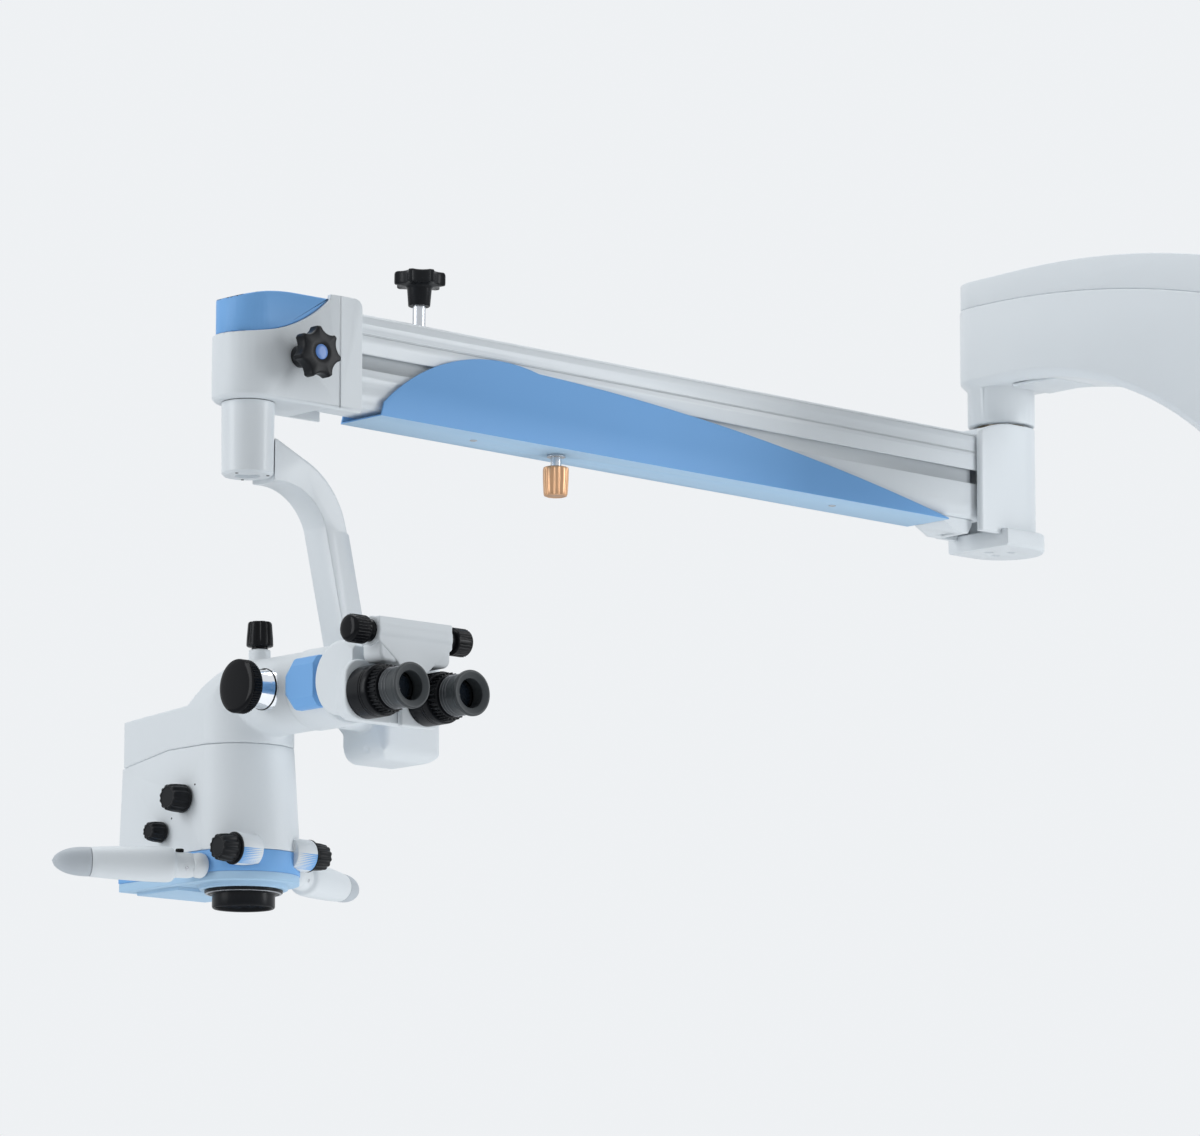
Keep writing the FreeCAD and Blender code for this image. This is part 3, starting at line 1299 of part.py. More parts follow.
def make_handle(name, side):
    """A swept-back handle. It turns about a stub that points straight out of the head's flank."""
    sweep = size.handle_sweep if side > 0 else 180 - size.handle_sweep
    station = Station(front_x + side * size.handle_x, size.column_offset - size.handle_y,
                      front_z - size.handle_z)
    grip = Piece(name, station)
    start = size.handle_start
    end = size.handle_length
    full = size.handle_radius
    small = size.handle_root_radius
    step = start + size.handle_root_length
    tip = size.handle_end_radius
    grip.revolve([
        (start, 0), (start, small * 0.5), (start + 3, small * 0.88), (start + 9, small), (step, small),
        (step + 2, full - 1.2), (step + 7, full), (end, tip + 0.5), (end, 0),
    ], "XY", "H_Axis", sweep)
    inside = 6
    stub = start + inside + 4
    grip.cylinder(size.handle_stub_radius, stub, (-inside if side > 0 else inside - stub, 0, 0), "X")
    cap = Piece(name + "_tip", station)
    far = end + size.handle_tip_length
    cap.revolve([
        (end + 0.2, 0), (end + 0.2, tip + 0.4), (end + size.handle_tip_length * 0.5, tip * 0.9),
        (end + size.handle_tip_length * 0.85, tip * 0.55), (far, tip * 0.15), (far, 0),
    ], "XY", "H_Axis", sweep)
    if side < 0:
        place = (size.button_x * cosine(sweep), size.button_x * sine(sweep))
        low = small + size.button_proud - size.button_height
        grip.cylinder(size.button_radius + size.seam_gap, 2 * size.button_height, (*place, low),
                      cut=True)
        button = Piece("handle_button", station)
        button.cylinder(size.button_radius, size.button_height - size.button_travel,
                        (*place, low + size.button_travel))
        button.round_off(0.8, lambda p: near(p.z, small + size.button_proud), bevel=True)


# Binocular tube

def make_tube_base():
    base = Piece("tube_base_housing", front)
    rear = size.neck_front + size.tube_gap
    end = rear + size.tube_length
    z = -size.tilt_z
    base.cylinder(size.tube_radius, size.tube_length, (0, -end, z), "Y")
    base.round_off(2.0, lambda p: near(p.y, -end), bevel=True)
    spigot = size.spigot_length + size.tube_gap
    base.cylinder(size.spigot_radius, spigot, (0, -rear, z), "Y")
    wide = size.tongue_half_width
    tall = size.tongue_half_height
    hinge_z = -size.hinge_z
    base.box((-wide, -size.hinge_y, hinge_z - tall), (wide, -end + 1, hinge_z + tall))
    base.cylinder(size.tongue_radius, 2 * wide, (-wide, -size.hinge_y, hinge_z), "X")
    base.cylinder(size.hinge_pin_radius + size.running_gap, 3 * wide,
                  (-1.5 * wide, -size.hinge_y, hinge_z), "X", cut=True)

    panels = Piece("tube_side_panels", front, many=True)
    tall = size.panel_half_height
    nose = size.panel_nose
    for side in (-1, 1):
        inner, outer = side * size.tube_radius * 0.6, side * size.panel_outer
        low = outer if side < 0 else inner
        panels.pad([
            (-rear - 0.2, z + nose), (-rear - 12, z + tall), (-end, z + tall),
            (-end, z - tall), (-rear - 12, z - tall), (-rear - 0.2, z - nose),
        ], low, size.panel_outer - size.tube_radius * 0.6, "YZ")
    panels.round_off(4.0, lambda p: near(abs(p.x), size.panel_outer), bevel=True)
    panels.cylinder(size.tube_radius + size.running_gap, FAR, (0, -FAR, z), "Y", cut=True)


def make_binocular():
    housing = Piece("binocular_housing", front)
    face = -size.carriage_front + size.prism_depth + size.seam_gap
    top = -size.carriage_top
    bottom = -size.carriage_bottom
    half = size.carriage_half_width - 6
    hinge_y = -size.hinge_y
    hinge_z = -size.hinge_z
    inner = size.tongue_half_width + size.seam_gap
    outer = size.drum_cheek_outer
    housing.cylinder(size.drum_cheek_radius, 2 * outer, (-outer, hinge_y, hinge_z), "X")
    housing.round_off(3.0, lambda p: near(abs(p.x), outer), bevel=True)
    housing.box((-FAR / 4, -FAR, -FAR), (FAR / 4, face, 0), cut=True)
    housing.pad(rounded(-half, bottom + 2, half, top - 2, size.carriage_corner - 2),
                face, size.carriage_depth, "XZ")
    edge = size.bracket_half_width
    back = -size.carriage_front - 2 * size.seam_gap
    housing.box((-edge / 1.6, -size.bracket_front + 2, -size.bracket_top - 24),
                (edge / 1.6, hinge_y - 11, -size.bracket_top - 10))
    housing.pad([
        (-edge, -size.bracket_top), (-edge, hinge_z + 24), (-edge / 2, hinge_z + 9), (-edge / 4, hinge_z),
        (edge / 4, hinge_z), (edge / 2, hinge_z + 9), (edge, hinge_z + 24), (edge, -size.bracket_top),
    ], -size.bracket_front, size.bracket_front + back, "XZ")
    housing.cylinder(size.bar_radius, 2 * edge, (-edge, -size.bar_y, -size.bar_z), "X")
    slot = size.tongue_radius + 1
    housing.cylinder(slot, 2 * inner, (-inner, hinge_y, hinge_z), "X", cut=True)
    housing.box((-inner, hinge_y, hinge_z - 3 * slot), (inner, 0, -size.bracket_top + 5), cut=True)
    housing.box((-inner, hinge_y - slot, hinge_z), (inner, 0, -size.bracket_top + 5), cut=True)
    housing.cylinder(size.shaft_radius + size.running_gap, FAR / 2,
                     (-FAR / 4, -size.bar_y, -size.bar_z), "X", cut=True)
    housing.cylinder(size.hinge_pin_radius, 2 * outer - 2, (1 - outer, hinge_y, hinge_z), "X")

    knobs = Piece("distance_knobs", front, many=True)
    long = size.distance_knob_end - edge - size.seam_gap
    for side in (-1, 1):
        ribbed_at(knobs, side, edge + size.seam_gap, -size.bar_y, size.bar_z,
                  size.distance_knob_radius, long, 12)
    knobs.cylinder(size.shaft_radius, 2 * edge + 4, (-edge - 2, -size.bar_y, -size.bar_z), "X")


def make_eyepiece(name, side):
    """One eyepiece on its own axis: Z points out of the eyecup."""
    station = Station(front_x + side * size.eye_x, size.column_offset - size.carriage_front - size.seam_gap,
                      front_z - size.eye_z, 90, (1, 0, 0))
    prism = Piece(name + "_prism_housing", station)
    inner_edge = size.eye_x - size.prism_inner
    outer_edge = size.carriage_half_width - size.eye_x
    left, right = (-inner_edge, outer_edge) if side > 0 else (-outer_edge, inner_edge)
    high = size.eye_z - size.carriage_top
    low = size.eye_z - size.carriage_bottom
    prism.pad(rectangle(left, low, right, high), -size.seam_gap - size.prism_depth, size.prism_depth)
    flank = right if side > 0 else left
    prism.round_off(size.carriage_corner,
                    lambda p: near(p.x, flank) and (near(p.y, low) or near(p.y, high)))
    sleeve = size.sleeve_tube_length
    ring_end = sleeve + size.ring_length + 1
    core_end = ring_end + size.cup_core_length
    tube = Piece(name + "_eyepiece_tube", station)
    outer = size.sleeve_tube_radius
    tube.revolve([
        (0, 0), (outer, 0), (outer, sleeve - 1), (outer - 1, sleeve),
        (size.ring_core_radius, sleeve), (size.ring_core_radius, ring_end),
        (size.cup_core_radius, ring_end), (size.cup_core_radius, core_end - 2),
        (size.eye_lens_radius, core_end), (size.eye_lens_radius, core_end - 4), (0, core_end - 4),
    ])
    ring = Piece(name + "_dioptre_ring", station)
    start = sleeve + 0.4
    long = size.ring_length
    ring.revolve([
        (size.ring_core_radius + size.running_gap, start), (size.ring_radius - 0.8, start),
        (size.ring_radius, start + 0.8), (size.ring_radius, start + long - 0.8),
        (size.ring_radius - 0.8, start + long), (size.ring_core_radius + size.running_gap, start + long),
    ])
    notch = ring.box((size.ring_radius - 1.2, -0.9, start + 1), (size.ring_radius + 1, 0.9, start + long - 1),
                     cut=True)
    ring.polar([notch], 18)
    lens = Piece(name + "_eye_lens", station)
    lens_foot = core_end - 4
    lens.revolve([
        (0, lens_foot), (size.eye_lens_radius - size.running_gap, lens_foot),
        (size.eye_lens_radius - size.running_gap, lens_foot + 1.5),
        (size.eye_lens_radius / 2, lens_foot + 2.6), (0, lens_foot + 3),
    ])
    cup = Piece(name + "_eyecup", station)
    cup_in = size.cup_core_radius + size.seam_gap
    rim = size.cup_radius + size.cup_rim_lip
    cup.revolve([
        (cup_in, size.cup_start), (size.cup_radius, size.cup_start),
        (size.cup_radius, size.cup_end - 9), (rim, size.cup_end - 4), (rim, size.cup_end),
        (size.cup_mouth_radius + 0.5, size.cup_end), (size.cup_throat_radius, size.cup_end - 7),
        (size.cup_throat_radius, core_end + 1), (cup_in, core_end + 1),
    ])


make_swing_arm()
make_post()
make_upper_beam()
make_lower_beam()
make_under_cover()
make_balance_adjuster()
make_lift_lock()
make_block()
make_carrier()
make_head()
make_head_knobs()
make_neck_knobs()
make_handle("left_handle", -1)
make_handle("right_handle", 1)
make_tube_base()
make_binocular()
make_eyepiece("left", -1)
make_eyepiece("right", 1)
doc.recompute()

# Every object and every shape is sound before anything is written

faults = [o.Name for o in doc.Objects if "Invalid" in o.State or "Error" in o.State]
for piece in Piece.made:
    shape = piece.body.Shape
    if shape.isNull() or not shape.isValid() or not shape.Solids:
        faults.append(piece.node)
if faults:
    raise ValueError("unsound: " + ", ".join(faults))

for piece in Piece.made:
    piece.body.Shape.exportStep(f"parts/{piece.node}.step")
print(len(Piece.made), "sub-parts written")
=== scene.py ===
import json
import math
import bmesh
import bpy
from mathutils import Matrix, Vector


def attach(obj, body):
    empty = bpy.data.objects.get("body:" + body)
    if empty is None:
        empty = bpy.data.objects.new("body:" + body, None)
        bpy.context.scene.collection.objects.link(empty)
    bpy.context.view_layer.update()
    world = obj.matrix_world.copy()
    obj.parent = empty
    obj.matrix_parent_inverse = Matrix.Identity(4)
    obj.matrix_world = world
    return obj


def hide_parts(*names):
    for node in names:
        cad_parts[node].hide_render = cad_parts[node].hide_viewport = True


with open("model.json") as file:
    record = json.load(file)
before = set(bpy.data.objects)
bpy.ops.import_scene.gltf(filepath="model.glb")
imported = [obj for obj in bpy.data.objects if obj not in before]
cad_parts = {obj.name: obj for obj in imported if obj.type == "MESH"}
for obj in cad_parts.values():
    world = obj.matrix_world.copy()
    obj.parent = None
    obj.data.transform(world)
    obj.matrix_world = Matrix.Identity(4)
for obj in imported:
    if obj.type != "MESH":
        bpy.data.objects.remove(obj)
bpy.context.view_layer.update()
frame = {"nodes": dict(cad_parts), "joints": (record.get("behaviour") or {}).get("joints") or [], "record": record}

# Surgical microscope on a balanced arm. Metres in the CAD frame. Sizes below are in
# millimetres in the front block's own frame, whose origin is on the head's swivel axis.

JOINTS = {joint["name"]: joint for joint in frame["joints"]}
FRONT = Vector(JOINTS["head_swivel"]["pos_m"])
LOWER_PIVOT = Vector(JOINTS["lower_link"]["pos_m"])
UPPER_PIVOT = Vector(JOINTS["arm_lift"]["pos_m"])
INCLINE = math.atan2(JOINTS["balance_knob_turn"]["axis"][0], JOINTS["balance_knob_turn"]["axis"][2])
MM = 0.001
LINK = 767.8
TUBE_Z = -248
RIGHT, LEFT = Vector((1, 0, 0)), Vector((-1, 0, 0))
BACK, AHEAD = Vector((0, 1, 0)), Vector((0, -1, 0))
UP, DOWN = Vector((0, 0, 1)), Vector((0, 0, -1))
BEAM_UP = Vector((math.sin(INCLINE), 0, math.cos(INCLINE)))
BEAM_ALONG = Vector((math.cos(INCLINE), 0, -math.sin(INCLINE)))


def at(x, y, z):
    """A place given in the front block's frame."""
    return FRONT + Vector((x, y, z)) * MM


def on_lower(along, across, up):
    return LOWER_PIVOT + (BEAM_ALONG * along + BACK * across + BEAM_UP * up) * MM


def on_upper(along, across, up):
    return UPPER_PIVOT + (BEAM_ALONG * along + BACK * across + BEAM_UP * up) * MM


def wire(tree, start, end):
    tree.links.new(start, end)


# Shared surface effects

def socket_in(group, name, kind, default):
    socket = group.interface.new_socket(name, in_out="INPUT", socket_type=kind)
    socket.default_value = default
    return socket


def moulded_grain():
    """Fine skin of a moulded or sprayed surface, with slow changes of tone."""
    group = bpy.data.node_groups.new("moulded_grain", "ShaderNodeTree")
    socket_in(group, "Colour", "NodeSocketColor", (0.8, 0.8, 0.8, 1))
    socket_in(group, "Tone", "NodeSocketFloat", 0.03)
    socket_in(group, "Grain Scale", "NodeSocketFloat", 900.0)
    socket_in(group, "Grain Depth", "NodeSocketFloat", 0.1)
    socket_in(group, "Roughness", "NodeSocketFloat", 0.4)
    socket_in(group, "Edge Radius", "NodeSocketFloat", 0.0006)
    group.interface.new_socket("Colour", in_out="OUTPUT", socket_type="NodeSocketColor")
    group.interface.new_socket("Roughness", in_out="OUTPUT", socket_type="NodeSocketFloat")
    group.interface.new_socket("Normal", in_out="OUTPUT", socket_type="NodeSocketVector")
    nodes = group.nodes
    given = nodes.new("NodeGroupInput")
    result = nodes.new("NodeGroupOutput")
    place = nodes.new("ShaderNodeTexCoord")
    slow = nodes.new("ShaderNodeTexNoise")
    slow.inputs["Scale"].default_value = 14.0
    slow.inputs["Detail"].default_value = 3.0
    wire(group, place.outputs["Object"], slow.inputs["Vector"])
    fine = nodes.new("ShaderNodeTexNoise")
    fine.inputs["Detail"].default_value = 2.0
    wire(group, place.outputs["Object"], fine.inputs["Vector"])
    wire(group, given.outputs["Grain Scale"], fine.inputs["Scale"])
    centre = nodes.new("ShaderNodeMath")
    centre.operation = "SUBTRACT"
    centre.inputs[1].default_value = 0.5
    wire(group, slow.outputs["Fac"], centre.inputs[0])
    amount = nodes.new("ShaderNodeMath")
    amount.operation = "MULTIPLY_ADD"
    amount.inputs[2].default_value = 1.0
    wire(group, centre.outputs[0], amount.inputs[0])
    wire(group, given.outputs["Tone"], amount.inputs[1])
    tinted = nodes.new("ShaderNodeVectorMath")
    tinted.operation = "SCALE"
    wire(group, given.outputs["Colour"], tinted.inputs[0])
    wire(group, amount.outputs[0], tinted.inputs["Scale"])
    wire(group, tinted.outputs[0], result.inputs["Colour"])
    rough = nodes.new("ShaderNodeMath")
    rough.operation = "MULTIPLY_ADD"
    rough.inputs[1].default_value = 0.16
    wire(group, centre.outputs[0], rough.inputs[0])
    wire(group, given.outputs["Roughness"], rough.inputs[2])
    wire(group, rough.outputs[0], result.inputs["Roughness"])
    edge = nodes.new("ShaderNodeBevel")
    edge.samples = 4
    wire(group, given.outputs["Edge Radius"], edge.inputs["Radius"])
    bump = nodes.new("ShaderNodeBump")
    bump.inputs["Distance"].default_value = 0.0002
    wire(group, given.outputs["Grain Depth"], bump.inputs["Strength"])
    wire(group, fine.outputs["Fac"], bump.inputs["Height"])
    wire(group, edge.outputs["Normal"], bump.inputs["Normal"])
    wire(group, bump.outputs["Normal"], result.inputs["Normal"])
    return group


def edge_sheen_and_wear():
    """Mask of the convex edges of a painted or anodised piece, broken up with noise, where a lighter colour is
    mixed in: a painted edge highlight that also stands for rubbed wear.
    """
    group = bpy.data.node_groups.new("edge_sheen_and_wear", "ShaderNodeTree")
    socket_in(group, "Colour", "NodeSocketColor", (0.1, 0.1, 0.1, 1))
    socket_in(group, "Sheen And Worn Colour", "NodeSocketColor", (0.4, 0.4, 0.4, 1))
    socket_in(group, "Amount", "NodeSocketFloat", 0.5)
    group.interface.new_socket("Colour", in_out="OUTPUT", socket_type="NodeSocketColor")
    nodes = group.nodes
    given = nodes.new("NodeGroupInput")
    result = nodes.new("NodeGroupOutput")
    place = nodes.new("ShaderNodeTexCoord")
    shape = nodes.new("ShaderNodeNewGeometry")
    noise = nodes.new("ShaderNodeTexNoise")
    noise.inputs["Scale"].default_value = 260.0
    noise.inputs["Detail"].default_value = 4.0
    wire(group, place.outputs["Object"], noise.inputs["Vector"])
    # Pointiness picks the convex edges and noise breaks them up; there the lighter colour is mixed in as a painted
    # edge highlight and rubbed wear.
    ramp = nodes.new("ShaderNodeMapRange")
    ramp.inputs["From Min"].default_value = 0.54
    ramp.inputs["From Max"].default_value = 0.64
    wire(group, shape.outputs["Pointiness"], ramp.inputs["Value"])
    sheened_edges = nodes.new("ShaderNodeMath")
    sheened_edges.operation = "MULTIPLY"
    wire(group, ramp.outputs["Result"], sheened_edges.inputs[0])
    wire(group, noise.outputs["Fac"], sheened_edges.inputs[1])
    sheen_and_wear_mask = nodes.new("ShaderNodeMath")
    sheen_and_wear_mask.operation = "MULTIPLY"
    sheen_and_wear_mask.use_clamp = True
    wire(group, sheened_edges.outputs[0], sheen_and_wear_mask.inputs[0])
    wire(group, given.outputs["Amount"], sheen_and_wear_mask.inputs[1])
    mix = nodes.new("ShaderNodeMix")
    mix.data_type = "RGBA"
    wire(group, sheen_and_wear_mask.outputs[0], mix.inputs["Factor"])
    wire(group, given.outputs["Colour"], mix.inputs["A"])
    wire(group, given.outputs["Sheen And Worn Colour"], mix.inputs["B"])
    wire(group, mix.outputs["Result"], result.inputs["Colour"])
    return group


GRAIN = moulded_grain()
EDGE_SHEEN_AND_WEAR = edge_sheen_and_wear()


def finish(name, colour, roughness, metallic=0.0, coat=0.0, tone=0.04, grain=900.0, depth=0.08,
           edge=0.0006, sheen_and_worn=None, sheen_and_wear=0.5, shine=0.5):
    """A procedural finish from the shared effects."""
    material = bpy.data.materials.new(name)
    material.use_nodes = True
    tree = material.node_tree
    shader = tree.nodes["Principled BSDF"]
    skin = tree.nodes.new("ShaderNodeGroup")
    skin.node_tree = GRAIN
    skin.inputs["Colour"].default_value = (*colour, 1)
    skin.inputs["Tone"].default_value = tone
    skin.inputs["Grain Scale"].default_value = grain
    skin.inputs["Grain Depth"].default_value = depth
    skin.inputs["Roughness"].default_value = roughness
    skin.inputs["Edge Radius"].default_value = edge
    shade = skin.outputs["Colour"]
    # Convex edges take a lighter colour: painted edge highlight, partly rubbed wear.
    if sheen_and_worn:
        edge_sheen = tree.nodes.new("ShaderNodeGroup")
        edge_sheen.node_tree = EDGE_SHEEN_AND_WEAR
        edge_sheen.inputs["Sheen And Worn Colour"].default_value = (*sheen_and_worn, 1)
        edge_sheen.inputs["Amount"].default_value = sheen_and_wear
        wire(tree, shade, edge_sheen.inputs["Colour"])
        shade = edge_sheen.outputs["Colour"]
    wire(tree, shade, shader.inputs["Base Color"])
    wire(tree, skin.outputs["Roughness"], shader.inputs["Roughness"])
    wire(tree, skin.outputs["Normal"], shader.inputs["Normal"])
    shader.inputs["Metallic"].default_value = metallic
    shader.inputs["Coat Weight"].default_value = coat
    shader.inputs["Coat Roughness"].default_value = 0.12
    shader.inputs["Specular IOR Level"].default_value = shine
    return material


def coated_glass(name, tint, roughness):
    material = bpy.data.materials.new(name)
    material.use_nodes = True
    tree = material.node_tree
    shader = tree.nodes["Principled BSDF"]
    noise = tree.nodes.new("ShaderNodeTexNoise")
    noise.inputs["Scale"].default_value = 120.0
    place = tree.nodes.new("ShaderNodeTexCoord")
    wire(tree, place.outputs["Object"], noise.inputs["Vector"])
    smear = tree.nodes.new("ShaderNodeMapRange")
    smear.inputs["To Min"].default_value = roughness
    smear.inputs["To Max"].default_value = roughness + 0.05
    wire(tree, noise.outputs["Fac"], smear.inputs["Value"])
    wire(tree, smear.outputs["Result"], shader.inputs["Roughness"])
    shader.inputs["Base Color"].default_value = (*tint, 1)
    shader.inputs["Coat Weight"].default_value = 1.0
    shader.inputs["IOR"].default_value = 1.6
    return material


WHITE = (0.75, 0.79, 0.82)
WHITE_PAINT = finish("white_satin_paint", WHITE, 0.38, coat=0.15, depth=0.04, tone=0.02, shine=0.35)
WHITE_PLASTIC = finish("white_moulding", WHITE, 0.46, grain=1500, depth=0.06, tone=0.02, shine=0.35)
BLUE_PLASTIC = finish("blue_moulding", (0.19, 0.43, 0.80), 0.5, grain=1400, depth=0.08, tone=0.04,
                      shine=0.3)
# A paler copy of the blue moulding for faces that look down: painted light from below.
BLUE_PAINTED_UNDERLIGHT = finish("blue_moulding_painted_underlight", (0.42, 0.62, 0.82), 0.5, grain=1400, depth=0.06, shine=0.3)
BLACK_GLOSS = finish("black_gloss_moulding", (0.007, 0.0075, 0.009), 0.13, depth=0.02, tone=0.2,
                     edge=0.0004, sheen_and_worn=(0.03, 0.03, 0.034), sheen_and_wear=0.2, shine=0.10)
BLACK_SOFT = finish("black_soft_moulding", (0.013, 0.014, 0.016), 0.30, depth=0.05, tone=0.2,
                    edge=0.0004, sheen_and_worn=(0.05, 0.055, 0.06), sheen_and_wear=0.25, shine=0.12)
BLACK_SATIN = finish("black_anodised", (0.009, 0.010, 0.012), 0.26, depth=0.03, tone=0.2,
                     edge=0.0003, sheen_and_worn=(0.06, 0.06, 0.065), sheen_and_wear=0.2, shine=0.13)
KNOB_BLUE = finish("blue_knob_disc", (0.07, 0.20, 0.55), 0.35, coat=0.2)
DIM_STEEL = finish("dull_steel", (0.16, 0.165, 0.175), 0.35, metallic=1.0, grain=2400, depth=0.08)
COPPER = finish("copper_anodised", (0.62, 0.36, 0.20), 0.34, metallic=0.6, sheen_and_worn=(0.8, 0.6, 0.42))
STEEL = finish("turned_steel", (0.55, 0.57, 0.60), 0.28, metallic=1.0, grain=2400, depth=0.10)
CHROME = finish("chromed_collar", (0.80, 0.82, 0.85), 0.10, metallic=1.0, depth=0.01, tone=0.02)
BRONZE = finish("bearing_bronze", (0.45, 0.32, 0.16), 0.40, metallic=0.9)
GREY_PLASTIC = finish("grey_grip_end", (0.50, 0.54, 0.58), 0.5, grain=1300, depth=0.06, shine=0.3)
RUBBER = finish("eyecup_rubber", (0.040, 0.046, 0.050), 0.40, grain=2200, depth=0.10, tone=0.2,
                shine=0.3)
# Dark finish for index marks, screws and the jack bore, and for the gap rings that are painted shade.
DARK = finish("dark_marks_and_gap_shade", (0.012, 0.012, 0.014), 0.6, shine=0.2)
LENS = coated_glass("coated_lens", (0.02, 0.03, 0.045), 0.02)

NODE_FINISH = {
    "swing_arm_housing": WHITE_PAINT, "swing_arm_cover": WHITE_PAINT,
    "swing_arm_service_plate": WHITE_PAINT, "swing_arm_bushes": BRONZE, "elbow_spindle": STEEL,
    "post_housing": WHITE_PAINT, "post_base_plate": WHITE_PLASTIC, "rear_pivot_pins": STEEL,
    "upper_beam": WHITE_PAINT, "lower_beam": WHITE_PAINT, "under_cover": BLUE_PLASTIC,
    "under_cover_end_shoe": WHITE_PLASTIC, "gas_spring": BLACK_SATIN, "balance_knob": COPPER,
    "balance_stem": STEEL, "lift_lock_knob": BLACK_SOFT, "lift_lock_rod": STEEL,
    "block_housing": WHITE_PLASTIC, "block_cap": BLUE_PLASTIC, "front_pivot_pins": STEEL,
    "brake_knob": BLACK_SOFT, "brake_knob_disc": KNOB_BLUE, "swivel_sleeve": WHITE_PAINT,
    "swivel_spindle": STEEL, "carrier_arm": WHITE_PAINT, "carrier_box": WHITE_PLASTIC,
    "tilt_axle": STEEL, "head_upper_shell": WHITE_PLASTIC, "head_lower_shell": WHITE_PLASTIC,
    "head_skirt": BLUE_PLASTIC, "head_base_plate": BLUE_PAINTED_UNDERLIGHT, "objective_barrel": BLACK_SATIN,
    "objective_lens": LENS, "tilt_knob_collar": CHROME, "tilt_knob": BLACK_GLOSS,
    "tube_clamp_knob": BLACK_GLOSS, "magnification_drum": BLACK_SATIN,
    "magnification_knobs": BLACK_SOFT, "filter_knob": BLACK_SOFT, "focus_knobs": BLACK_SOFT,
    "focus_lens_cell": BLACK_SATIN, "left_handle": WHITE_PLASTIC, "left_handle_tip": GREY_PLASTIC,
    "right_handle": WHITE_PLASTIC, "right_handle_tip": GREY_PLASTIC, "handle_button": BLACK_GLOSS,
    "tube_base_housing": WHITE_PLASTIC, "tube_side_panels": BLUE_PLASTIC,
    "binocular_housing": WHITE_PLASTIC, "distance_knobs": BLACK_GLOSS,
    "left_prism_housing": WHITE_PLASTIC, "right_prism_housing": WHITE_PLASTIC,
    "left_eyepiece_tube": BLACK_SATIN, "right_eyepiece_tube": BLACK_SATIN,
    "left_eye_lens": LENS, "right_eye_lens": LENS, "left_dioptre_ring": BLACK_SATIN,
    "right_dioptre_ring": BLACK_SATIN, "left_eyecup": RUBBER, "right_eyecup": RUBBER,
}
BODY_OF = {node: body for body, members in frame["record"]["behaviour"]["bodies"].items()
           for node in members}
for node, material in NODE_FINISH.items():
    mesh = frame["nodes"][node].data
    mesh.materials.clear()
    mesh.materials.append(material)


# Making pieces

def new_piece(name, mesh, material, body, stands_for=(), soften=38):
    """Registers a finished mesh, with its place in its vertices."""
    piece = bpy.data.objects.new(name, mesh)
    bpy.context.scene.collection.objects.link(piece)
    if material:
        mesh.materials.clear()
        mesh.materials.append(material)
    if soften:
        mesh.shade_smooth()
        mesh.set_sharp_from_angle(angle=math.radians(soften))
    if stands_for:
        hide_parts(*stands_for)
    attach(piece, body)
    return piece


def from_axis(place, axis, turn=0.0):
    """The matrix that stands a piece made along Z on a place and an axis."""
    lean = UP.rotation_difference(axis.normalized()).to_matrix().to_4x4()
    return Matrix.Translation(place) @ lean @ Matrix.Rotation(turn, 4, "Z")


def turned_into(work, profile, place, axis, steps=96, shape=None, turn=0.0):
    """Adds a turned solid. Profile rows are (radius, height) or (radius, height, hollow), in mm."""
    matrix = from_axis(place, axis, turn)
    rings = []
    for row in profile:
        radius, height = row[0], row[1]
        hollow = row[2] if len(row) > 2 else 0.0
        if radius <= 0:
            rings.append([work.verts.new(matrix @ Vector((0, 0, height * MM)))])
            continue
        ring = []
        for i in range(steps):
            angle = 2 * math.pi * i / steps
            reach = (radius - hollow * shape(angle) if shape else radius) * MM
            spot = Vector((reach * math.cos(angle), reach * math.sin(angle), height * MM))
            ring.append(work.verts.new(matrix @ spot))
        rings.append(ring)
    pairs = list(zip(rings, rings[1:]))
    if len(rings[0]) > 1 or len(rings[-1]) > 1:
        pairs.append((rings[-1], rings[0]))
    for low, high in pairs:
        if len(low) == 1 and len(high) == 1:
            continue
        for i in range(steps):
            j = (i + 1) % steps
            if len(low) == 1:
                work.faces.new((low[0], high[j], high[i]))
            elif len(high) == 1:
                work.faces.new((low[i], low[j], high[0]))
            else:
                work.faces.new((low[i], low[j], high[j], high[i]))


def close_up(work):
    bmesh.ops.remove_doubles(work, verts=work.verts, dist=1e-7)
    bmesh.ops.recalc_face_normals(work, faces=work.faces)
    mesh = bpy.data.meshes.new("made")
    work.to_mesh(mesh)
    work.free()
    return mesh


def turned(name, parts, material, body, stands_for=(), ribs=()):
    """One piece from turned solids, each (profile, place, axis) with options after them."""
    work = bmesh.new()
    for part in parts:
        turned_into(work, *part[:3], **(part[3] if len(part) > 3 else {}))
    for sizes, place, axis in ribs:
        made = ribbed_ring(sizes, material)
        made.transform(from_axis(place, axis))
        work.from_mesh(made)
    return new_piece(name, close_up(work), material, body, stands_for)


def hollows(count, width, depth_at=1.0):
    """Round hollows between the lobes of a grip, each as wide as a share of the pitch."""
    pitch = 2 * math.pi / count

    def shape(angle):
        off = abs((angle + pitch / 2) % pitch - pitch / 2) / (pitch * width / 2)
        return depth_at * (1 - off * off) if off < 1 else 0.0
    return shape


# Ribs and screws by geometry nodes

def named_inputs(tree, sockets):
    tree.interface.new_socket("Geometry", in_out="INPUT", socket_type="NodeSocketGeometry")
    for name, kind, default in sockets:
        socket = tree.interface.new_socket(name, in_out="INPUT", socket_type=kind)
        if default is not None:
            socket.default_value = default
    tree.interface.new_socket("Geometry", in_out="OUTPUT", socket_type="NodeSocketGeometry")


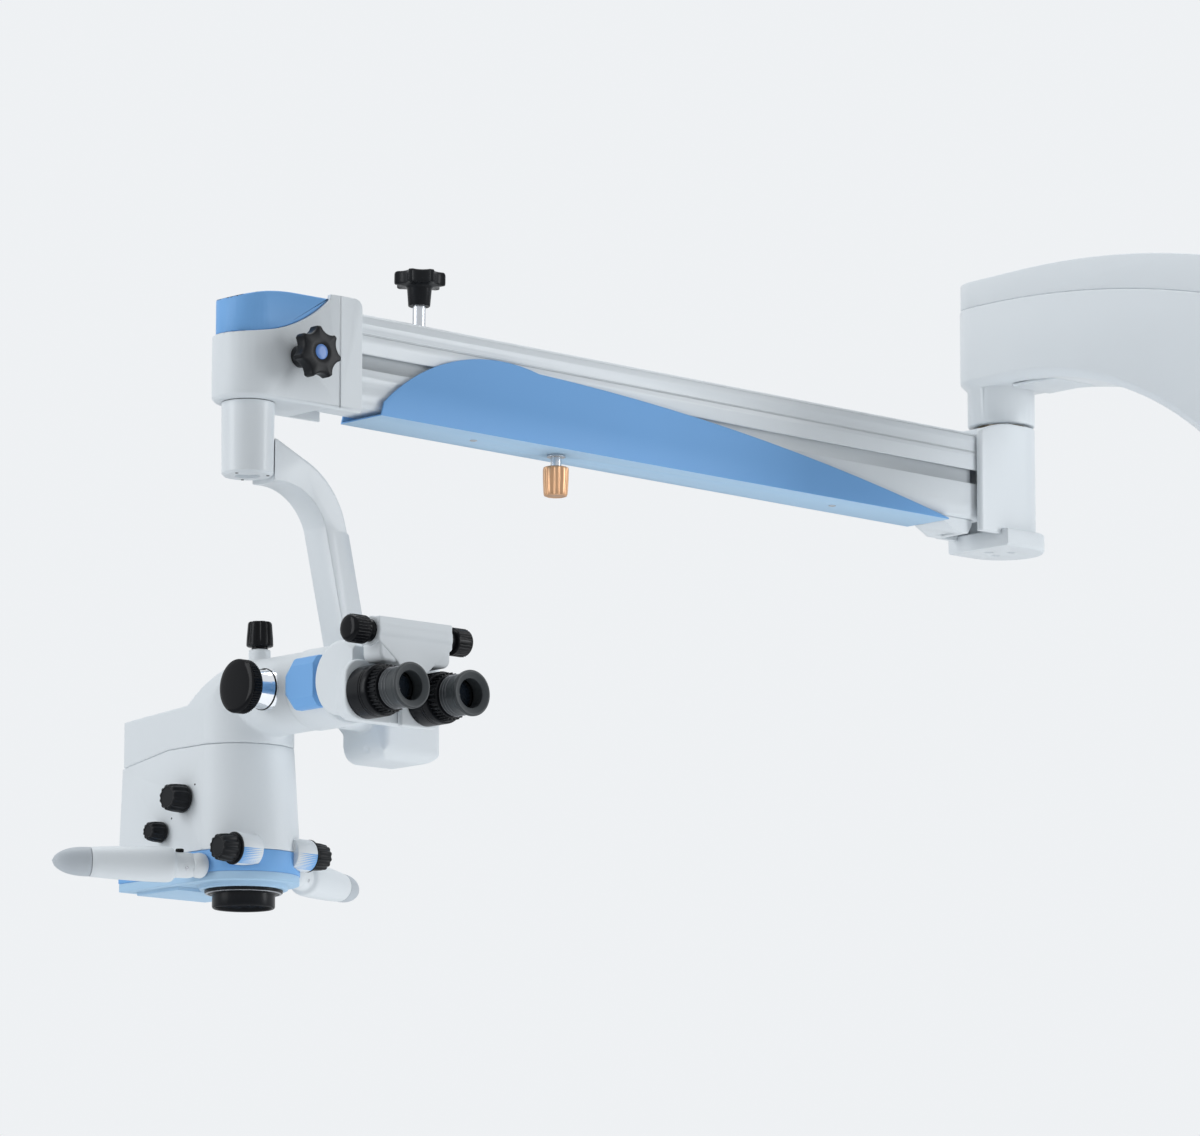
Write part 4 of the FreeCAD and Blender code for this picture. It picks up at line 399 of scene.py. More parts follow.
def rib_tree():
    """Equal rounded ribs that stand around an axis."""
    tree = bpy.data.node_groups.new("ribs_around_axis", "GeometryNodeTree")
    named_inputs(tree, (
        ("Count", "NodeSocketInt", 24), ("Radius", "NodeSocketFloat", 0.01),
        ("Width", "NodeSocketFloat", 0.001), ("Depth", "NodeSocketFloat", 0.001),
        ("Length", "NodeSocketFloat", 0.01), ("Start", "NodeSocketFloat", 0.0),
        ("Finish", "NodeSocketMaterial", None),
    ))
    nodes = tree.nodes
    given = nodes.new("NodeGroupInput")
    result = nodes.new("NodeGroupOutput")
    line = nodes.new("GeometryNodeCurvePrimitiveLine")
    ends = nodes.new("ShaderNodeCombineXYZ")
    wire(tree, given.outputs["Length"], ends.inputs["Z"])
    wire(tree, ends.outputs[0], line.inputs["End"])
    parted = nodes.new("GeometryNodeResampleCurve")
    parted.inputs["Count"].default_value = 12
    wire(tree, line.outputs["Curve"], parted.inputs["Curve"])
    along = nodes.new("GeometryNodeSplineParameter")
    ping = nodes.new("ShaderNodeMath")
    ping.operation = "PINGPONG"
    ping.inputs[1].default_value = 0.5
    wire(tree, along.outputs["Factor"], ping.inputs[0])
    rise = nodes.new("ShaderNodeMath")
    rise.operation = "MULTIPLY"
    rise.inputs[1].default_value = 7.0
    wire(tree, ping.outputs[0], rise.inputs[0])
    flat = nodes.new("ShaderNodeMath")
    flat.operation = "MINIMUM"
    flat.inputs[1].default_value = 1.0
    wire(tree, rise.outputs[0], flat.inputs[0])
    swell = nodes.new("ShaderNodeMath")
    swell.operation = "POWER"
    swell.inputs[1].default_value = 0.5
    wire(tree, flat.outputs[0], swell.inputs[0])
    widen = nodes.new("GeometryNodeSetCurveRadius")
    wire(tree, parted.outputs["Curve"], widen.inputs["Curve"])
    wire(tree, swell.outputs[0], widen.inputs["Radius"])
    section = nodes.new("GeometryNodeCurvePrimitiveCircle")
    section.inputs["Resolution"].default_value = 10
    section.inputs["Radius"].default_value = 1.0
    oval = nodes.new("GeometryNodeTransform")
    across = nodes.new("ShaderNodeCombineXYZ")
    across.inputs["Z"].default_value = 1.0
    wire(tree, given.outputs["Depth"], across.inputs["X"])
    wire(tree, given.outputs["Width"], across.inputs["Y"])
    wire(tree, section.outputs["Curve"], oval.inputs["Geometry"])
    wire(tree, across.outputs[0], oval.inputs["Scale"])
    rib = nodes.new("GeometryNodeCurveToMesh")
    rib.inputs["Fill Caps"].default_value = True
    wire(tree, widen.outputs["Curve"], rib.inputs["Curve"])
    wire(tree, oval.outputs["Geometry"], rib.inputs["Profile Curve"])
    circle = nodes.new("GeometryNodeMeshCircle")
    wire(tree, given.outputs["Count"], circle.inputs["Vertices"])
    wire(tree, given.outputs["Radius"], circle.inputs["Radius"])
    lift = nodes.new("GeometryNodeTransform")
    raised = nodes.new("ShaderNodeCombineXYZ")
    wire(tree, given.outputs["Start"], raised.inputs["Z"])
    wire(tree, circle.outputs["Mesh"], lift.inputs["Geometry"])
    wire(tree, raised.outputs[0], lift.inputs["Translation"])
    spot = nodes.new("GeometryNodeInputPosition")
    flatten = nodes.new("ShaderNodeVectorMath")
    flatten.operation = "MULTIPLY"
    flatten.inputs[1].default_value = (1, 1, 0)
    wire(tree, spot.outputs[0], flatten.inputs[0])
    facing = nodes.new("FunctionNodeAlignRotationToVector")
    facing.axis = "X"
    facing.pivot_axis = "Z"
    wire(tree, flatten.outputs[0], facing.inputs["Vector"])
    ring = nodes.new("GeometryNodeInstanceOnPoints")
    wire(tree, lift.outputs["Geometry"], ring.inputs["Points"])
    wire(tree, rib.outputs["Mesh"], ring.inputs["Instance"])
    wire(tree, facing.outputs["Rotation"], ring.inputs["Rotation"])
    solid = nodes.new("GeometryNodeRealizeInstances")
    wire(tree, ring.outputs["Instances"], solid.inputs["Geometry"])
    dressed = nodes.new("GeometryNodeSetMaterial")
    wire(tree, solid.outputs["Geometry"], dressed.inputs["Geometry"])
    wire(tree, given.outputs["Finish"], dressed.inputs["Material"])
    wire(tree, dressed.outputs["Geometry"], result.inputs["Geometry"])
    return tree


def screw_tree():
    """A chamfered screw head with a sunk drive on each point, which faces the point's way."""
    tree = bpy.data.node_groups.new("screws_on_points", "GeometryNodeTree")
    named_inputs(tree, (("Radius", "NodeSocketFloat", 0.002), ("Height", "NodeSocketFloat", 0.0006),
                        ("Drive Sides", "NodeSocketInt", 24),
                        ("Finish", "NodeSocketMaterial", None)))
    nodes = tree.nodes
    given = nodes.new("NodeGroupInput")
    result = nodes.new("NodeGroupOutput")
    disc = nodes.new("GeometryNodeMeshCircle")
    disc.fill_type = "NGON"
    disc.inputs["Radius"].default_value = 1.0
    wire(tree, given.outputs["Drive Sides"], disc.inputs["Vertices"])
    body, top = disc.outputs["Mesh"], None
    for offset, narrow in ((1.0, 1.0), (0.35, 0.84), (0.0, 0.62), (-0.95, 0.92)):
        step = nodes.new("GeometryNodeExtrudeMesh")
        step.inputs["Offset Scale"].default_value = offset
        wire(tree, body, step.inputs["Mesh"])
        if top:
            wire(tree, top, step.inputs["Selection"])
        top = step.outputs["Top"]
        size = nodes.new("GeometryNodeScaleElements")
        size.inputs["Scale"].default_value = narrow
        wire(tree, step.outputs["Mesh"], size.inputs["Geometry"])
        wire(tree, top, size.inputs["Selection"])
        body = size.outputs["Geometry"]
    scale = nodes.new("GeometryNodeTransform")
    sizes = nodes.new("ShaderNodeCombineXYZ")
    wire(tree, given.outputs["Radius"], sizes.inputs["X"])
    wire(tree, given.outputs["Radius"], sizes.inputs["Y"])
    wire(tree, given.outputs["Height"], sizes.inputs["Z"])
    wire(tree, body, scale.inputs["Geometry"])
    wire(tree, sizes.outputs[0], scale.inputs["Scale"])
    way = nodes.new("GeometryNodeInputNamedAttribute")
    way.data_type = "FLOAT_VECTOR"
    way.inputs["Name"].default_value = "facing"
    lean = nodes.new("FunctionNodeAlignRotationToVector")
    lean.axis = "Z"
    wire(tree, way.outputs["Attribute"], lean.inputs["Vector"])
    placed = nodes.new("GeometryNodeInstanceOnPoints")
    wire(tree, given.outputs["Geometry"], placed.inputs["Points"])
    wire(tree, scale.outputs["Geometry"], placed.inputs["Instance"])
    wire(tree, lean.outputs["Rotation"], placed.inputs["Rotation"])
    solid = nodes.new("GeometryNodeRealizeInstances")
    wire(tree, placed.outputs["Instances"], solid.inputs["Geometry"])
    dressed = nodes.new("GeometryNodeSetMaterial")
    wire(tree, solid.outputs["Geometry"], dressed.inputs["Geometry"])
    wire(tree, given.outputs["Finish"], dressed.inputs["Material"])
    wire(tree, dressed.outputs["Geometry"], result.inputs["Geometry"])
    return tree


RIBS = rib_tree()
SCREWS = screw_tree()


def grown(mesh, tree, values):
    """Runs a geometry node tree on a mesh and gives the plain mesh that it makes."""
    draft = bpy.data.objects.new("draft", mesh)
    bpy.context.scene.collection.objects.link(draft)
    grow = draft.modifiers.new("grow", "NODES")
    grow.node_group = tree
    sockets = {item.name: item.identifier for item in tree.interface.items_tree
               if item.in_out == "INPUT"}
    for name, value in values.items():
        grow[sockets[name]] = value
    graph = bpy.context.evaluated_depsgraph_get()
    result = bpy.data.meshes.new_from_object(draft.evaluated_get(graph))
    bpy.data.objects.remove(draft)
    return result


def ribbed_ring(sizes, material):
    count, radius, width, depth, long, start = sizes
    return grown(bpy.data.meshes.new("axis"), RIBS, {
        "Count": count, "Radius": radius * MM, "Width": width * MM, "Depth": depth * MM,
        "Length": long * MM, "Start": start * MM, "Finish": material,
    })


def screws(name, spots, radius, height, material, body, sides=24):
    """Screw heads on spots, each a place and the way that it faces."""
    points = bpy.data.meshes.new(name)
    points.from_pydata([place for place, facing in spots], [], [])
    ways = points.attributes.new("facing", "FLOAT_VECTOR", "POINT")
    for i, (place, facing) in enumerate(spots):
        ways.data[i].vector = facing
    mesh = grown(points, SCREWS, {"Radius": radius * MM, "Height": height * MM,
                                  "Drive Sides": sides, "Finish": material})
    return new_piece(name, mesh, material, body)


# Moulded shells

def merged(node):
    work = bmesh.new()
    work.from_mesh(frame["nodes"][node].data)
    bmesh.ops.remove_doubles(work, verts=work.verts, dist=1e-6)
    return work


def drafted(work):
    mesh = bpy.data.meshes.new("merged")
    work.to_mesh(mesh)
    work.free()
    draft = bpy.data.objects.new("draft", mesh)
    bpy.context.scene.collection.objects.link(draft)
    return draft


def finished_from(draft):
    graph = bpy.context.evaluated_depsgraph_get()
    result = bpy.data.meshes.new_from_object(draft.evaluated_get(graph))
    bpy.data.objects.remove(draft)
    return result


def moulded(node, voxel, rounds):
    """A softened, closely meshed copy of a moulded piece, which stands in its place."""
    draft = drafted(merged(node))
    remesh = draft.modifiers.new("skin", "REMESH")
    remesh.mode = "VOXEL"
    remesh.voxel_size = voxel * MM
    smooth = draft.modifiers.new("soften", "SMOOTH")
    smooth.iterations = rounds
    piece = new_piece(f"{node}_skin", finished_from(draft), NODE_FINISH[node], BODY_OF[node],
                      [node], soften=0)
    piece.data.shade_smooth()
    return piece


def raise_groove(work, depth, raised):
    """Lifts the floor of a fine groove on both flanks, between two distances off the middle."""
    middle = FRONT.y
    for vert in work.verts:
        off = (vert.co.y - middle) / MM
        if abs(abs(off) - depth) < 0.02:
            vert.co.y = middle + math.copysign(raised, off) * MM


def rounded(draft, width, segments, limit):
    """Rounds the edges of a draft."""
    rounding = draft.modifiers.new("rounded_edges", "BEVEL")
    rounding.width = width * MM
    rounding.segments = segments
    rounding.limit_method = limit
    rounding.harden_normals = True
    draft.data.shade_smooth()
    return rounding


def round_edged(node, width, grooves):
    """A copy of a moulded piece with its hard edges rounded, which stands in its place."""
    work = merged(node)
    bmesh.ops.dissolve_limit(work, angle_limit=FLAT_ANGLE, verts=work.verts, edges=work.edges)
    for where, change in grooves.items():
        raise_groove(work, where, change)
    weight = work.edges.layers.float.new("bevel_weight_edge")
    for edge in work.edges:
        if len(edge.link_faces) == 2 and edge.is_convex and edge.calc_face_angle() > HARD_ANGLE:
            edge[weight] = 1.0
    draft = drafted(work)
    rounded(draft, width, 2, "WEIGHT").use_clamp_overlap = False
    return new_piece(f"{node}_skin", finished_from(draft), NODE_FINISH[node], BODY_OF[node],
                     [node], soften=0)


def made_round(work, width, segments, angle):
    """The plain mesh of a made solid, with its edges rounded."""
    bmesh.ops.recalc_face_normals(work, faces=work.faces)
    draft = drafted(work)
    rounded(draft, width, segments, "ANGLE").angle_limit = math.radians(angle)
    return finished_from(draft)


FLAT_ANGLE, HARD_ANGLE = math.radians(0.15), math.radians(30)
FINE_GROOVES = {"block_housing": {29.5: 30.12}, "upper_beam": {23.4: 23.9}}
for node, voxel, rounds in (
    ("post_housing", 1.0, 4), ("carrier_box", 0.9, 8),
    ("head_upper_shell", 1.1, 9), ("binocular_housing", 0.7, 6),
):
    moulded(node, voxel, rounds)
for node, width in (
    ("swing_arm_housing", 1.6), ("swing_arm_cover", 1.2), ("block_housing", 0.9),
    ("block_cap", 1.2),
    ("carrier_arm", 0.6), ("post_base_plate", 1.0), ("under_cover", 0.5),
    ("head_lower_shell", 0.5), ("head_skirt", 0.5), ("head_base_plate", 0.6), ("upper_beam", 0.8),
    ("lower_beam", 0.8), ("under_cover_end_shoe", 1.0), ("tube_base_housing", 0.6),
    ("left_prism_housing", 1.6), ("right_prism_housing", 1.6), ("swing_arm_service_plate", 0.8),
):
    round_edged(node, width, FINE_GROOVES.get(node, {}))
# The downward faces of the blue cover take the paler blue: painted light from below.
cover_painted_underlight = bpy.data.objects["under_cover_skin"].data
cover_painted_underlight.materials.append(BLUE_PAINTED_UNDERLIGHT)
for face in cover_painted_underlight.polygons:
    if face.normal.z < -0.8:
        face.material_index = 1


# Star knobs

def star_outline():
    """How far the outline of the seven pointed lobes lies inside their circle."""
    tip, reach, centre = 22.0, 13.0, 30.6
    pitch = 2 * math.pi / 7

    def shape(angle):
        off = abs((angle + pitch / 2) % pitch - pitch / 2)
        across = centre * math.sin(off)
        if across >= reach:
            return 0.0
        inner = centre * math.cos(off) - math.sqrt(reach ** 2 - across ** 2)
        return max(0.0, tip - inner) / 5.0
    return shape


STAR = star_outline()


def star_rows():
    rows = [(0, 0), (8.9, 0), (9.3, 0.5), (10.4, 14.5), (11.4, 16.6), (12.6, 17.2)]
    rows += [(20.4, 17.4, 4.8)]
    rows += [(21.4, 17.7, 5.0), (21.9, 18.5, 5.0), (22.0, 20.5, 5.0), (22.0, 26.0, 5.0)]
    rows += [(21.8, 27.2, 5.0), (21.3, 28.1, 4.95), (20.5, 28.6, 4.9), (19.6, 28.8, 4.8)]
    return rows + [(11, 28.95), (7.0, 29.0), (6.6, 28.7), (0, 28.7)]


LIFT_TOP = on_upper(-662.7, 0, 37.0)
turned("lift_lock_star", [
    (star_rows(), LIFT_TOP, BEAM_UP, {"steps": 252, "shape": STAR, "turn": 0.5}),
], BLACK_SOFT, "lift_lock", ["lift_lock_knob"])
BRAKE_FOOT = at(29, -30.3, 38)
turned("brake_star", [
    (star_rows(), BRAKE_FOOT, AHEAD, {"steps": 252, "shape": STAR, "turn": 0.3}),
    ([(0, -9), (4, -9), (4, 1), (0, 1)], BRAKE_FOOT, AHEAD),
], BLACK_SOFT, "brake", ["brake_knob"])
turned("brake_star_disc", [
    ([(0, 27.5), (6.3, 27.5), (6.3, 28.9), (5.9, 29.1), (3, 29.2), (0, 29.2)], BRAKE_FOOT, AHEAD),
], KNOB_BLUE, "brake", ["brake_knob_disc"])


# Knobs on the head

def grip_rows(radius, long, flute):
    """A grip with a smooth foot ring, wide flutes and a scalloped end."""
    foot = radius + 0.1
    return [
        (0, 0), (radius - 1.6, 0), (foot - 0.6, 0.5), (foot, 1.3), (foot, 2.6), (foot - 0.5, 3.0),
        (radius - 0.2, 3.4, flute), (radius, 5.0, flute), (radius - 0.2, long * 0.6, flute),
        (radius - 0.9, long - 1.4, flute), (radius - 1.4, long - 0.5, flute),
        (radius - 2.3, long, flute), (radius - 3.4, long, 0.0), (radius - 3.8, long - 0.5, 0.0),
        (0, long - 0.5),
    ]


FLUTE = hollows(12, 0.72)
MAGNIFY_X, FILTER_X, FOCUS_X = 45.0, 45.8, 38.7
MAGNIFY_YZ, FILTER_YZ, FOCUS_YZ = (22, -329), (49, -354), (-35, -374)


def grip(place, axis, radius, long, flute=1.0):
    return (grip_rows(radius, long, flute), place, axis, {"steps": 240, "shape": FLUTE})


turned("magnification_grips", [
    grip(at(-MAGNIFY_X, *MAGNIFY_YZ), LEFT, 11.5, 17.8),
    grip(at(MAGNIFY_X, *MAGNIFY_YZ), RIGHT, 11.5, 17.8),
], BLACK_SOFT, BODY_OF["magnification_knobs"],
    ["magnification_knobs"])
turned("filter_grip", [
    grip(at(-FILTER_X, *FILTER_YZ), LEFT, 8.4, 14.8, 0.8),
    ([(0, -1.8), (2.9, -1.8), (2.9, 0.6), (0, 0.6)], at(-FILTER_X, *FILTER_YZ), LEFT),
], BLACK_SOFT, BODY_OF["filter_knob"], ["filter_knob"])
turned("focus_grips", [
    grip(at(-FOCUS_X, *FOCUS_YZ), LEFT, 11.4, 17.2),
    grip(at(FOCUS_X, *FOCUS_YZ), RIGHT, 11.4, 17.2),
    ([(0, -40.4), (2.9, -40.4), (2.9, 40.4), (0, 40.4)], at(0, *FOCUS_YZ), LEFT),
], BLACK_SOFT, BODY_OF["focus_knobs"], ["focus_knobs"])


def flank(y, z):
    """How far out the head's flank lies, at a place on it."""
    foot = min(1.0, max(0.0, (-287 - z) / 86.0))
    return 43.3 + 2.5 * foot


for name, y, z in (("magnification_index", 9.0, -318.5), ("filter_index", 38.0, -343.5)):
    turned(name, [([(0, -0.6), (0.8, -0.6), (0.8, 0.12), (0.5, 0.25), (0, 0.28)],
                   at(-flank(y, z), y, z), LEFT, {"steps": 24})],
           DARK, "head")

# Tilt knob, its collar and the tube's clamp knob
TILT_FACE = at(-50.3, -65, TUBE_Z)
turned("tilt_disc", [(
    [(0, 0), (18.5, 0), (20.0, 0.4), (20.6, 1.2), (20.6, 2.0), (20.9, 2.2), (20.9, 9.2),
     (20.6, 9.4), (20.6, 9.8), (21.7, 10.0),
     (21.9, 10.4), (21.6, 11.2), (20.4, 11.9), (17.5, 12.4), (12, 12.75),
     (6, 12.95), (0, 13.0)], TILT_FACE, LEFT, {"steps": 144}),
    ([(0, -29), (4.9, -29), (4.9, 0.5), (0, 0.5)], TILT_FACE, LEFT),
], BLACK_GLOSS, BODY_OF["tilt_knob"], ["tilt_knob"],
    ribs=[((64, 20.8, 0.5, 1.0, 7.0, 2.2), TILT_FACE, LEFT)])
COLLAR_FOOT = at(-32, -65, TUBE_Z)
turned("tilt_collar_skin", [(
    [(5.6, -3.0), (16.9, -3.0), (16.9, 1.4), (16.6, 2.0), (15.8, 6), (15.3, 12), (15.2, 17.4),
     (14.6, 18.0), (5.6, 18.0)], COLLAR_FOOT, LEFT, {"steps": 120}),
], CHROME, BODY_OF["tilt_knob_collar"], ["tilt_knob_collar"])
turned("tilt_collar_base", [(
    [(15.4, 1.6), (17.0, 1.6), (17.0, 2.5), (16.4, 2.9), (15.4, 2.9)], COLLAR_FOOT, LEFT,
    {"steps": 120}),
], BLACK_GLOSS, BODY_OF["tilt_knob_collar"])
CLAMP_FOOT = at(0, -18, -206.7)
CLAMP = hollows(8, 0.5)
turned("clamp_grip", [(
    [(0, 0), (6.4, 0), (6.6, 0.6), (6.6, 1.6), (9.6, 1.9), (10.9, 2.6, 0.3), (11.0, 4.0, 0.9),
     (10.8, 9, 1.0), (10.3, 15, 1.0), (9.9, 20.5, 1.0), (9.5, 21.8, 1.0), (8.7, 22.4, 0.8),
     (7.4, 22.5, 0.0), (6.8, 22.1), (0, 22.1)], CLAMP_FOOT, UP, {"steps": 192, "shape": CLAMP}),
    ([(0, -11.4), (3.9, -11.4), (3.9, 0.5), (0, 0.5)], CLAMP_FOOT, UP),
], BLACK_GLOSS, BODY_OF["tube_clamp_knob"], ["tube_clamp_knob"])


# Blue side panels of the tube, in three facets

def side_panel(work, side):
    rings = []
    for out, trim in ((19.0, 0.0), (30.5, 0.0), (33.4, 1.2), (38.0, 7.6)):
        tall, nose = 21.0 - trim, 8.0 - trim * 0.45
        front, slope = 132.0, 103.0 + trim * 0.2
        tail = 91.2 + trim * 0.9
        ring = [(-tail, nose), (-slope, tall), (-front, tall), (-front, -tall), (-slope, -tall),
                (-tail, -nose)]
        rings.append([work.verts.new(at(side * out, y, TUBE_Z + z)) for y, z in ring])
    work.faces.new(rings[0])
    work.faces.new(rings[-1])
    for low, high in zip(rings, rings[1:]):
        for i in range(6):
            j = (i + 1) % 6
            work.faces.new((low[i], low[j], high[j], high[i]))


def side_panels():
    work = bmesh.new()
    for side in (-1, 1):
        side_panel(work, side)
    new_piece("tube_panels_skin", made_round(work, 0.5, 2, 12), BLUE_PLASTIC,
              BODY_OF["tube_side_panels"], ["tube_side_panels"],
              soften=0)


side_panels()
# A thin dark ring in the gap of the tube: painted shade.
turned("tube_gap_painted_shade", [
    ([(21, 90.15), (31.4, 90.15), (31.4, 90.85), (21, 90.85)], at(0, 0, TUBE_Z), AHEAD,
     {"steps": 96}),
], DARK, BODY_OF["tube_base_housing"])
# A thin dark ring in the gap at the top of the swivel sleeve: painted shade.
turned("swivel_gap_painted_shade", [
    ([(17, -0.55), (21.2, -0.55), (21.2, -0.1), (17, -0.1)], at(0, 0, 0), UP, {"steps": 96}),
], DARK, "carrier")


def bracket_plate():
    """The plate of the bracket over the eyepieces, with round corners."""
    half, low, high, corner = 36.5, -241.4, -208, 7.0
    work = bmesh.new()
    outline = []
    for cx, cz, start in ((half - corner, high - corner, 0), (-half + corner, high - corner, 90),
                          (-half + corner, low + corner, 180), (half - corner, low + corner, 270)):
        for i in range(9):
            angle = math.radians(start + 90 * i / 8)
            outline.append((cx + corner * math.cos(angle), cz + corner * math.sin(angle)))
    rings = [[work.verts.new(at(x, y, z)) for x, z in outline] for y in (-191.5, -213.6)]
    work.faces.new(rings[0])
    work.faces.new(rings[1])
    for i in range(len(outline)):
        j = (i + 1) % len(outline)
        work.faces.new((rings[0][i], rings[0][j], rings[1][j], rings[1][i]))
    new_piece("bracket_plate", made_round(work, 2.6, 4, 40), WHITE_PLASTIC,
              BODY_OF["binocular_housing"], soften=0)


bracket_plate()

# Jack in the carrier box
JACK = at(70.6, -61.4, -269.5)
turned("jack_surround", [
    ([(2.7, -1.2), (4.6, -1.2), (4.6, 0.25), (4.2, 0.5), (3.0, 0.5), (2.7, 0.2)],
     JACK, LEFT, {"steps": 48}),
], WHITE_PLASTIC, "carrier")
turned("jack_bore", [
    ([(0, -1.2), (2.8, -1.2), (2.8, 0.1), (1.6, 0.1), (1.6, -0.6), (0, -0.6)],
     JACK, LEFT, {"steps": 36}),
], DARK, "carrier")

# The lower half of the focus bosses carries the skirt's blue
bosses = bpy.data.objects["head_lower_shell_skin"].data
bosses.materials.append(BLUE_PLASTIC)
for face in bosses.polygons:
    spot = (face.center - FRONT) / MM
    off_axis = math.hypot(spot.y - FOCUS_YZ[0], spot.z - FOCUS_YZ[1])
    if abs(spot.x) > 30 and off_axis < 16 and spot.z < FOCUS_YZ[1]:
        face.material_index = 1
turned("focus_base_rings", [
    ([(11.2, -0.35), (13.0, -0.35), (13.3, 0.1), (13.3, 0.7), (12.9, 1.1), (11.2, 1.1)],
     at(side * FOCUS_X, *FOCUS_YZ), way, {"steps": 96}) for side, way in ((-1, LEFT), (1, RIGHT))
], BLACK_SOFT, BODY_OF["focus_knobs"])

# Distance knobs on the cross bar

def distance_grip(side):
    foot = at(side * 38.3, -203, -217)
    way = RIGHT if side > 0 else LEFT
    rows = [(0, 0), (8.6, 0), (9.1, 0.5), (9.1, 6.0), (8.8, 6.4), (10.9, 6.7), (11.4, 7.2),
            (11.4, 8.0), (11.0, 8.3), (11.0, 20.4), (10.7, 21.6), (9.9, 22.5), (8.4, 23.2),
            (6.0, 23.6), (3.0, 23.75), (0, 23.8)]
    return (rows, foot, way, {"steps": 120}), ((26, 11.0, 0.62, 0.42, 12.4, 8.1), foot, way)


GRIP_PARTS, GRIP_RIBS = zip(*(distance_grip(side) for side in (-1, 1)))
turned("distance_grips", [
    *GRIP_PARTS, ([(0, -40), (3.9, -40), (3.9, 40), (0, 40)], at(0, -203, -217), LEFT),
], BLACK_GLOSS, BODY_OF["distance_knobs"], ["distance_knobs"],
    ribs=GRIP_RIBS)


# Eyepieces

def eyepiece(side, name):
    foot = at(side * 31.2, -190.3, -264.5)
    body = BODY_OF[f"{name}_eyepiece_tube"]
    turned(f"{name}_eye_sleeve", [(
        [(0, 0), (20.6, 0), (21.0, 0.5), (21.0, 14.0), (20.5, 14.25), (20.5, 14.75), (21.0, 15.0),
         (21.0, 16.4), (20.5, 16.65), (20.5, 17.15), (21.0, 17.4), (21.0, 21.6), (20.4, 22.7),
         (19.4, 23.0), (14.0, 23.0), (14.0, 33.0), (15.5, 33.0), (15.5, 38.5), (13.2, 40.5),
         (11.6, 41.8), (11.6, 37.8), (0, 37.8)], foot, AHEAD, {"steps": 120}),
    ], BLACK_SATIN, body, [f"{name}_eyepiece_tube"])
    turned(f"{name}_dioptre_grip", [(
        [(14.1, 23.4), (17.2, 23.4), (17.6, 23.9), (17.6, 31.4), (17.0, 32.0), (14.1, 32.3)],
        foot, AHEAD, {"steps": 120}),
    ], BLACK_SATIN, BODY_OF[f"{name}_dioptre_ring"],
        [f"{name}_dioptre_ring"], ribs=[((32, 17.6, 0.85, 1.6, 7.6, 23.9), foot, AHEAD)])
    cup = BODY_OF[f"{name}_eyecup"]
    turned(f"{name}_cup", [(
        [(15.9, 34.6), (16.3, 34.6), (16.3, 46.0), (16.4, 48.0), (16.9, 50.6), (17.9, 52.6),
         (18.35, 53.4), (18.45, 54.2), (18.45, 55.4), (18.1, 56.1), (17.4, 56.4), (16.4, 56.2),
         (14.0, 55.2), (12.6, 54.8), (11.9, 54.2), (11.7, 53.2), (12.4, 43.0), (15.9, 43.0)],
        foot, AHEAD, {"steps": 120}),
    ], RUBBER, cup, [f"{name}_eyecup"])
    rings = []
    for height in (35.2, 38.6, 42.0):
        rings.append(([(15.9, height - 0.28), (16.6, height - 0.2), (16.75, height),
                       (16.6, height + 0.2), (15.9, height + 0.28)], foot, AHEAD, {"steps": 120}))
    turned(f"{name}_cup_rings", rings, DIM_STEEL, cup)


eyepiece(-1, "left")
eyepiece(1, "right")

# Objective barrel
OBJECTIVE_TOP = at(0, 0, -402)
turned("objective_skin", [(
    [(22.6, 0), (31.2, 0), (31.8, -0.4), (32.0, -1.2), (31.6, -2.4), (30.6, -2.9), (26.6, -3.2),
     (25.6, -4.0), (25.6, -13.4), (25.2, -14.4), (24.4, -15.0), (23.2, -14.6), (22.6, -13.0)],
    OBJECTIVE_TOP, UP, {"steps": 144}),
], BLACK_SATIN, BODY_OF["objective_barrel"], ["objective_barrel"])
turned("objective_pale_ring", [(
    [(29.2, -2.9), (30.9, -2.7), (31.0, -3.0), (30.8, -3.2), (29.2, -3.3)], OBJECTIVE_TOP, UP,
    {"steps": 144}),
], STEEL, "head")


# Handles

def handle(side, name):
    sweep = math.radians(25 if side > 0 else 155)
    way = Vector((math.cos(sweep), math.sin(sweep), 0))
    out_way = RIGHT if side > 0 else LEFT
    foot = at(side * 46.3, -3, -386)
    inner = -10 if side < 0 else -6
    body = BODY_OF[f"{name}_handle"]
    turned(f"{name}_grip_skin", [(
        [(0, 4.0), (4.6, 4.0), (6.9, 4.7), (8.9, 6.2), (9.9, 8.2), (10.35, 10.5), (10.4, 13),
         (10.4, 21.6), (10.9, 22.6), (12.4, 23.6), (13.5, 24.8), (14.1, 26.6), (14.4, 30),
         (14.35, 40), (14.0, 55), (13.3, 72),
         (12.4, 86), (12.0, 91.4), (11.7, 91.8), (0, 91.8)], foot, way, {"steps": 96}),
        ([(0, inner), (4.4, inner), (4.4, 8), (0, 8)], foot, out_way, {"steps": 48}),
        ([(0, -0.4), (9.4, -0.4), (10.0, 0.2), (10.2, 1.4), (10.2, 4.0), (9.4, 8.0), (7.0, 11.0),
          (0, 12.5)], foot, out_way, {"steps": 72}),
    ], WHITE_PLASTIC, body, [f"{name}_handle"])
    tip = [(0, 92.2), (11.4, 92.2), (11.85, 92.6)]
    for i in range(1, 14):
        along = i / 13
        tip.append((11.85 * (1 - along ** 2.6) ** 0.62 if along < 1 else 0, 92.6 + 30.2 * along))
    turned(f"{name}_tip_skin", [(tip, foot, way, {"steps": 96})], GREY_PLASTIC, body,
           [f"{name}_handle_tip"])
    across = way.cross(UP).normalized() * (1 if way.cross(UP).y < 0 else -1)
    lean = (across * 0.94 + DOWN * 0.34).normalized()
    screws(f"{name}_grip_screw", [(foot + way * 14 * MM + lean * 10.25 * MM, lean)], 1.5, 0.35,
           STEEL, body, sides=20)
    return foot, way


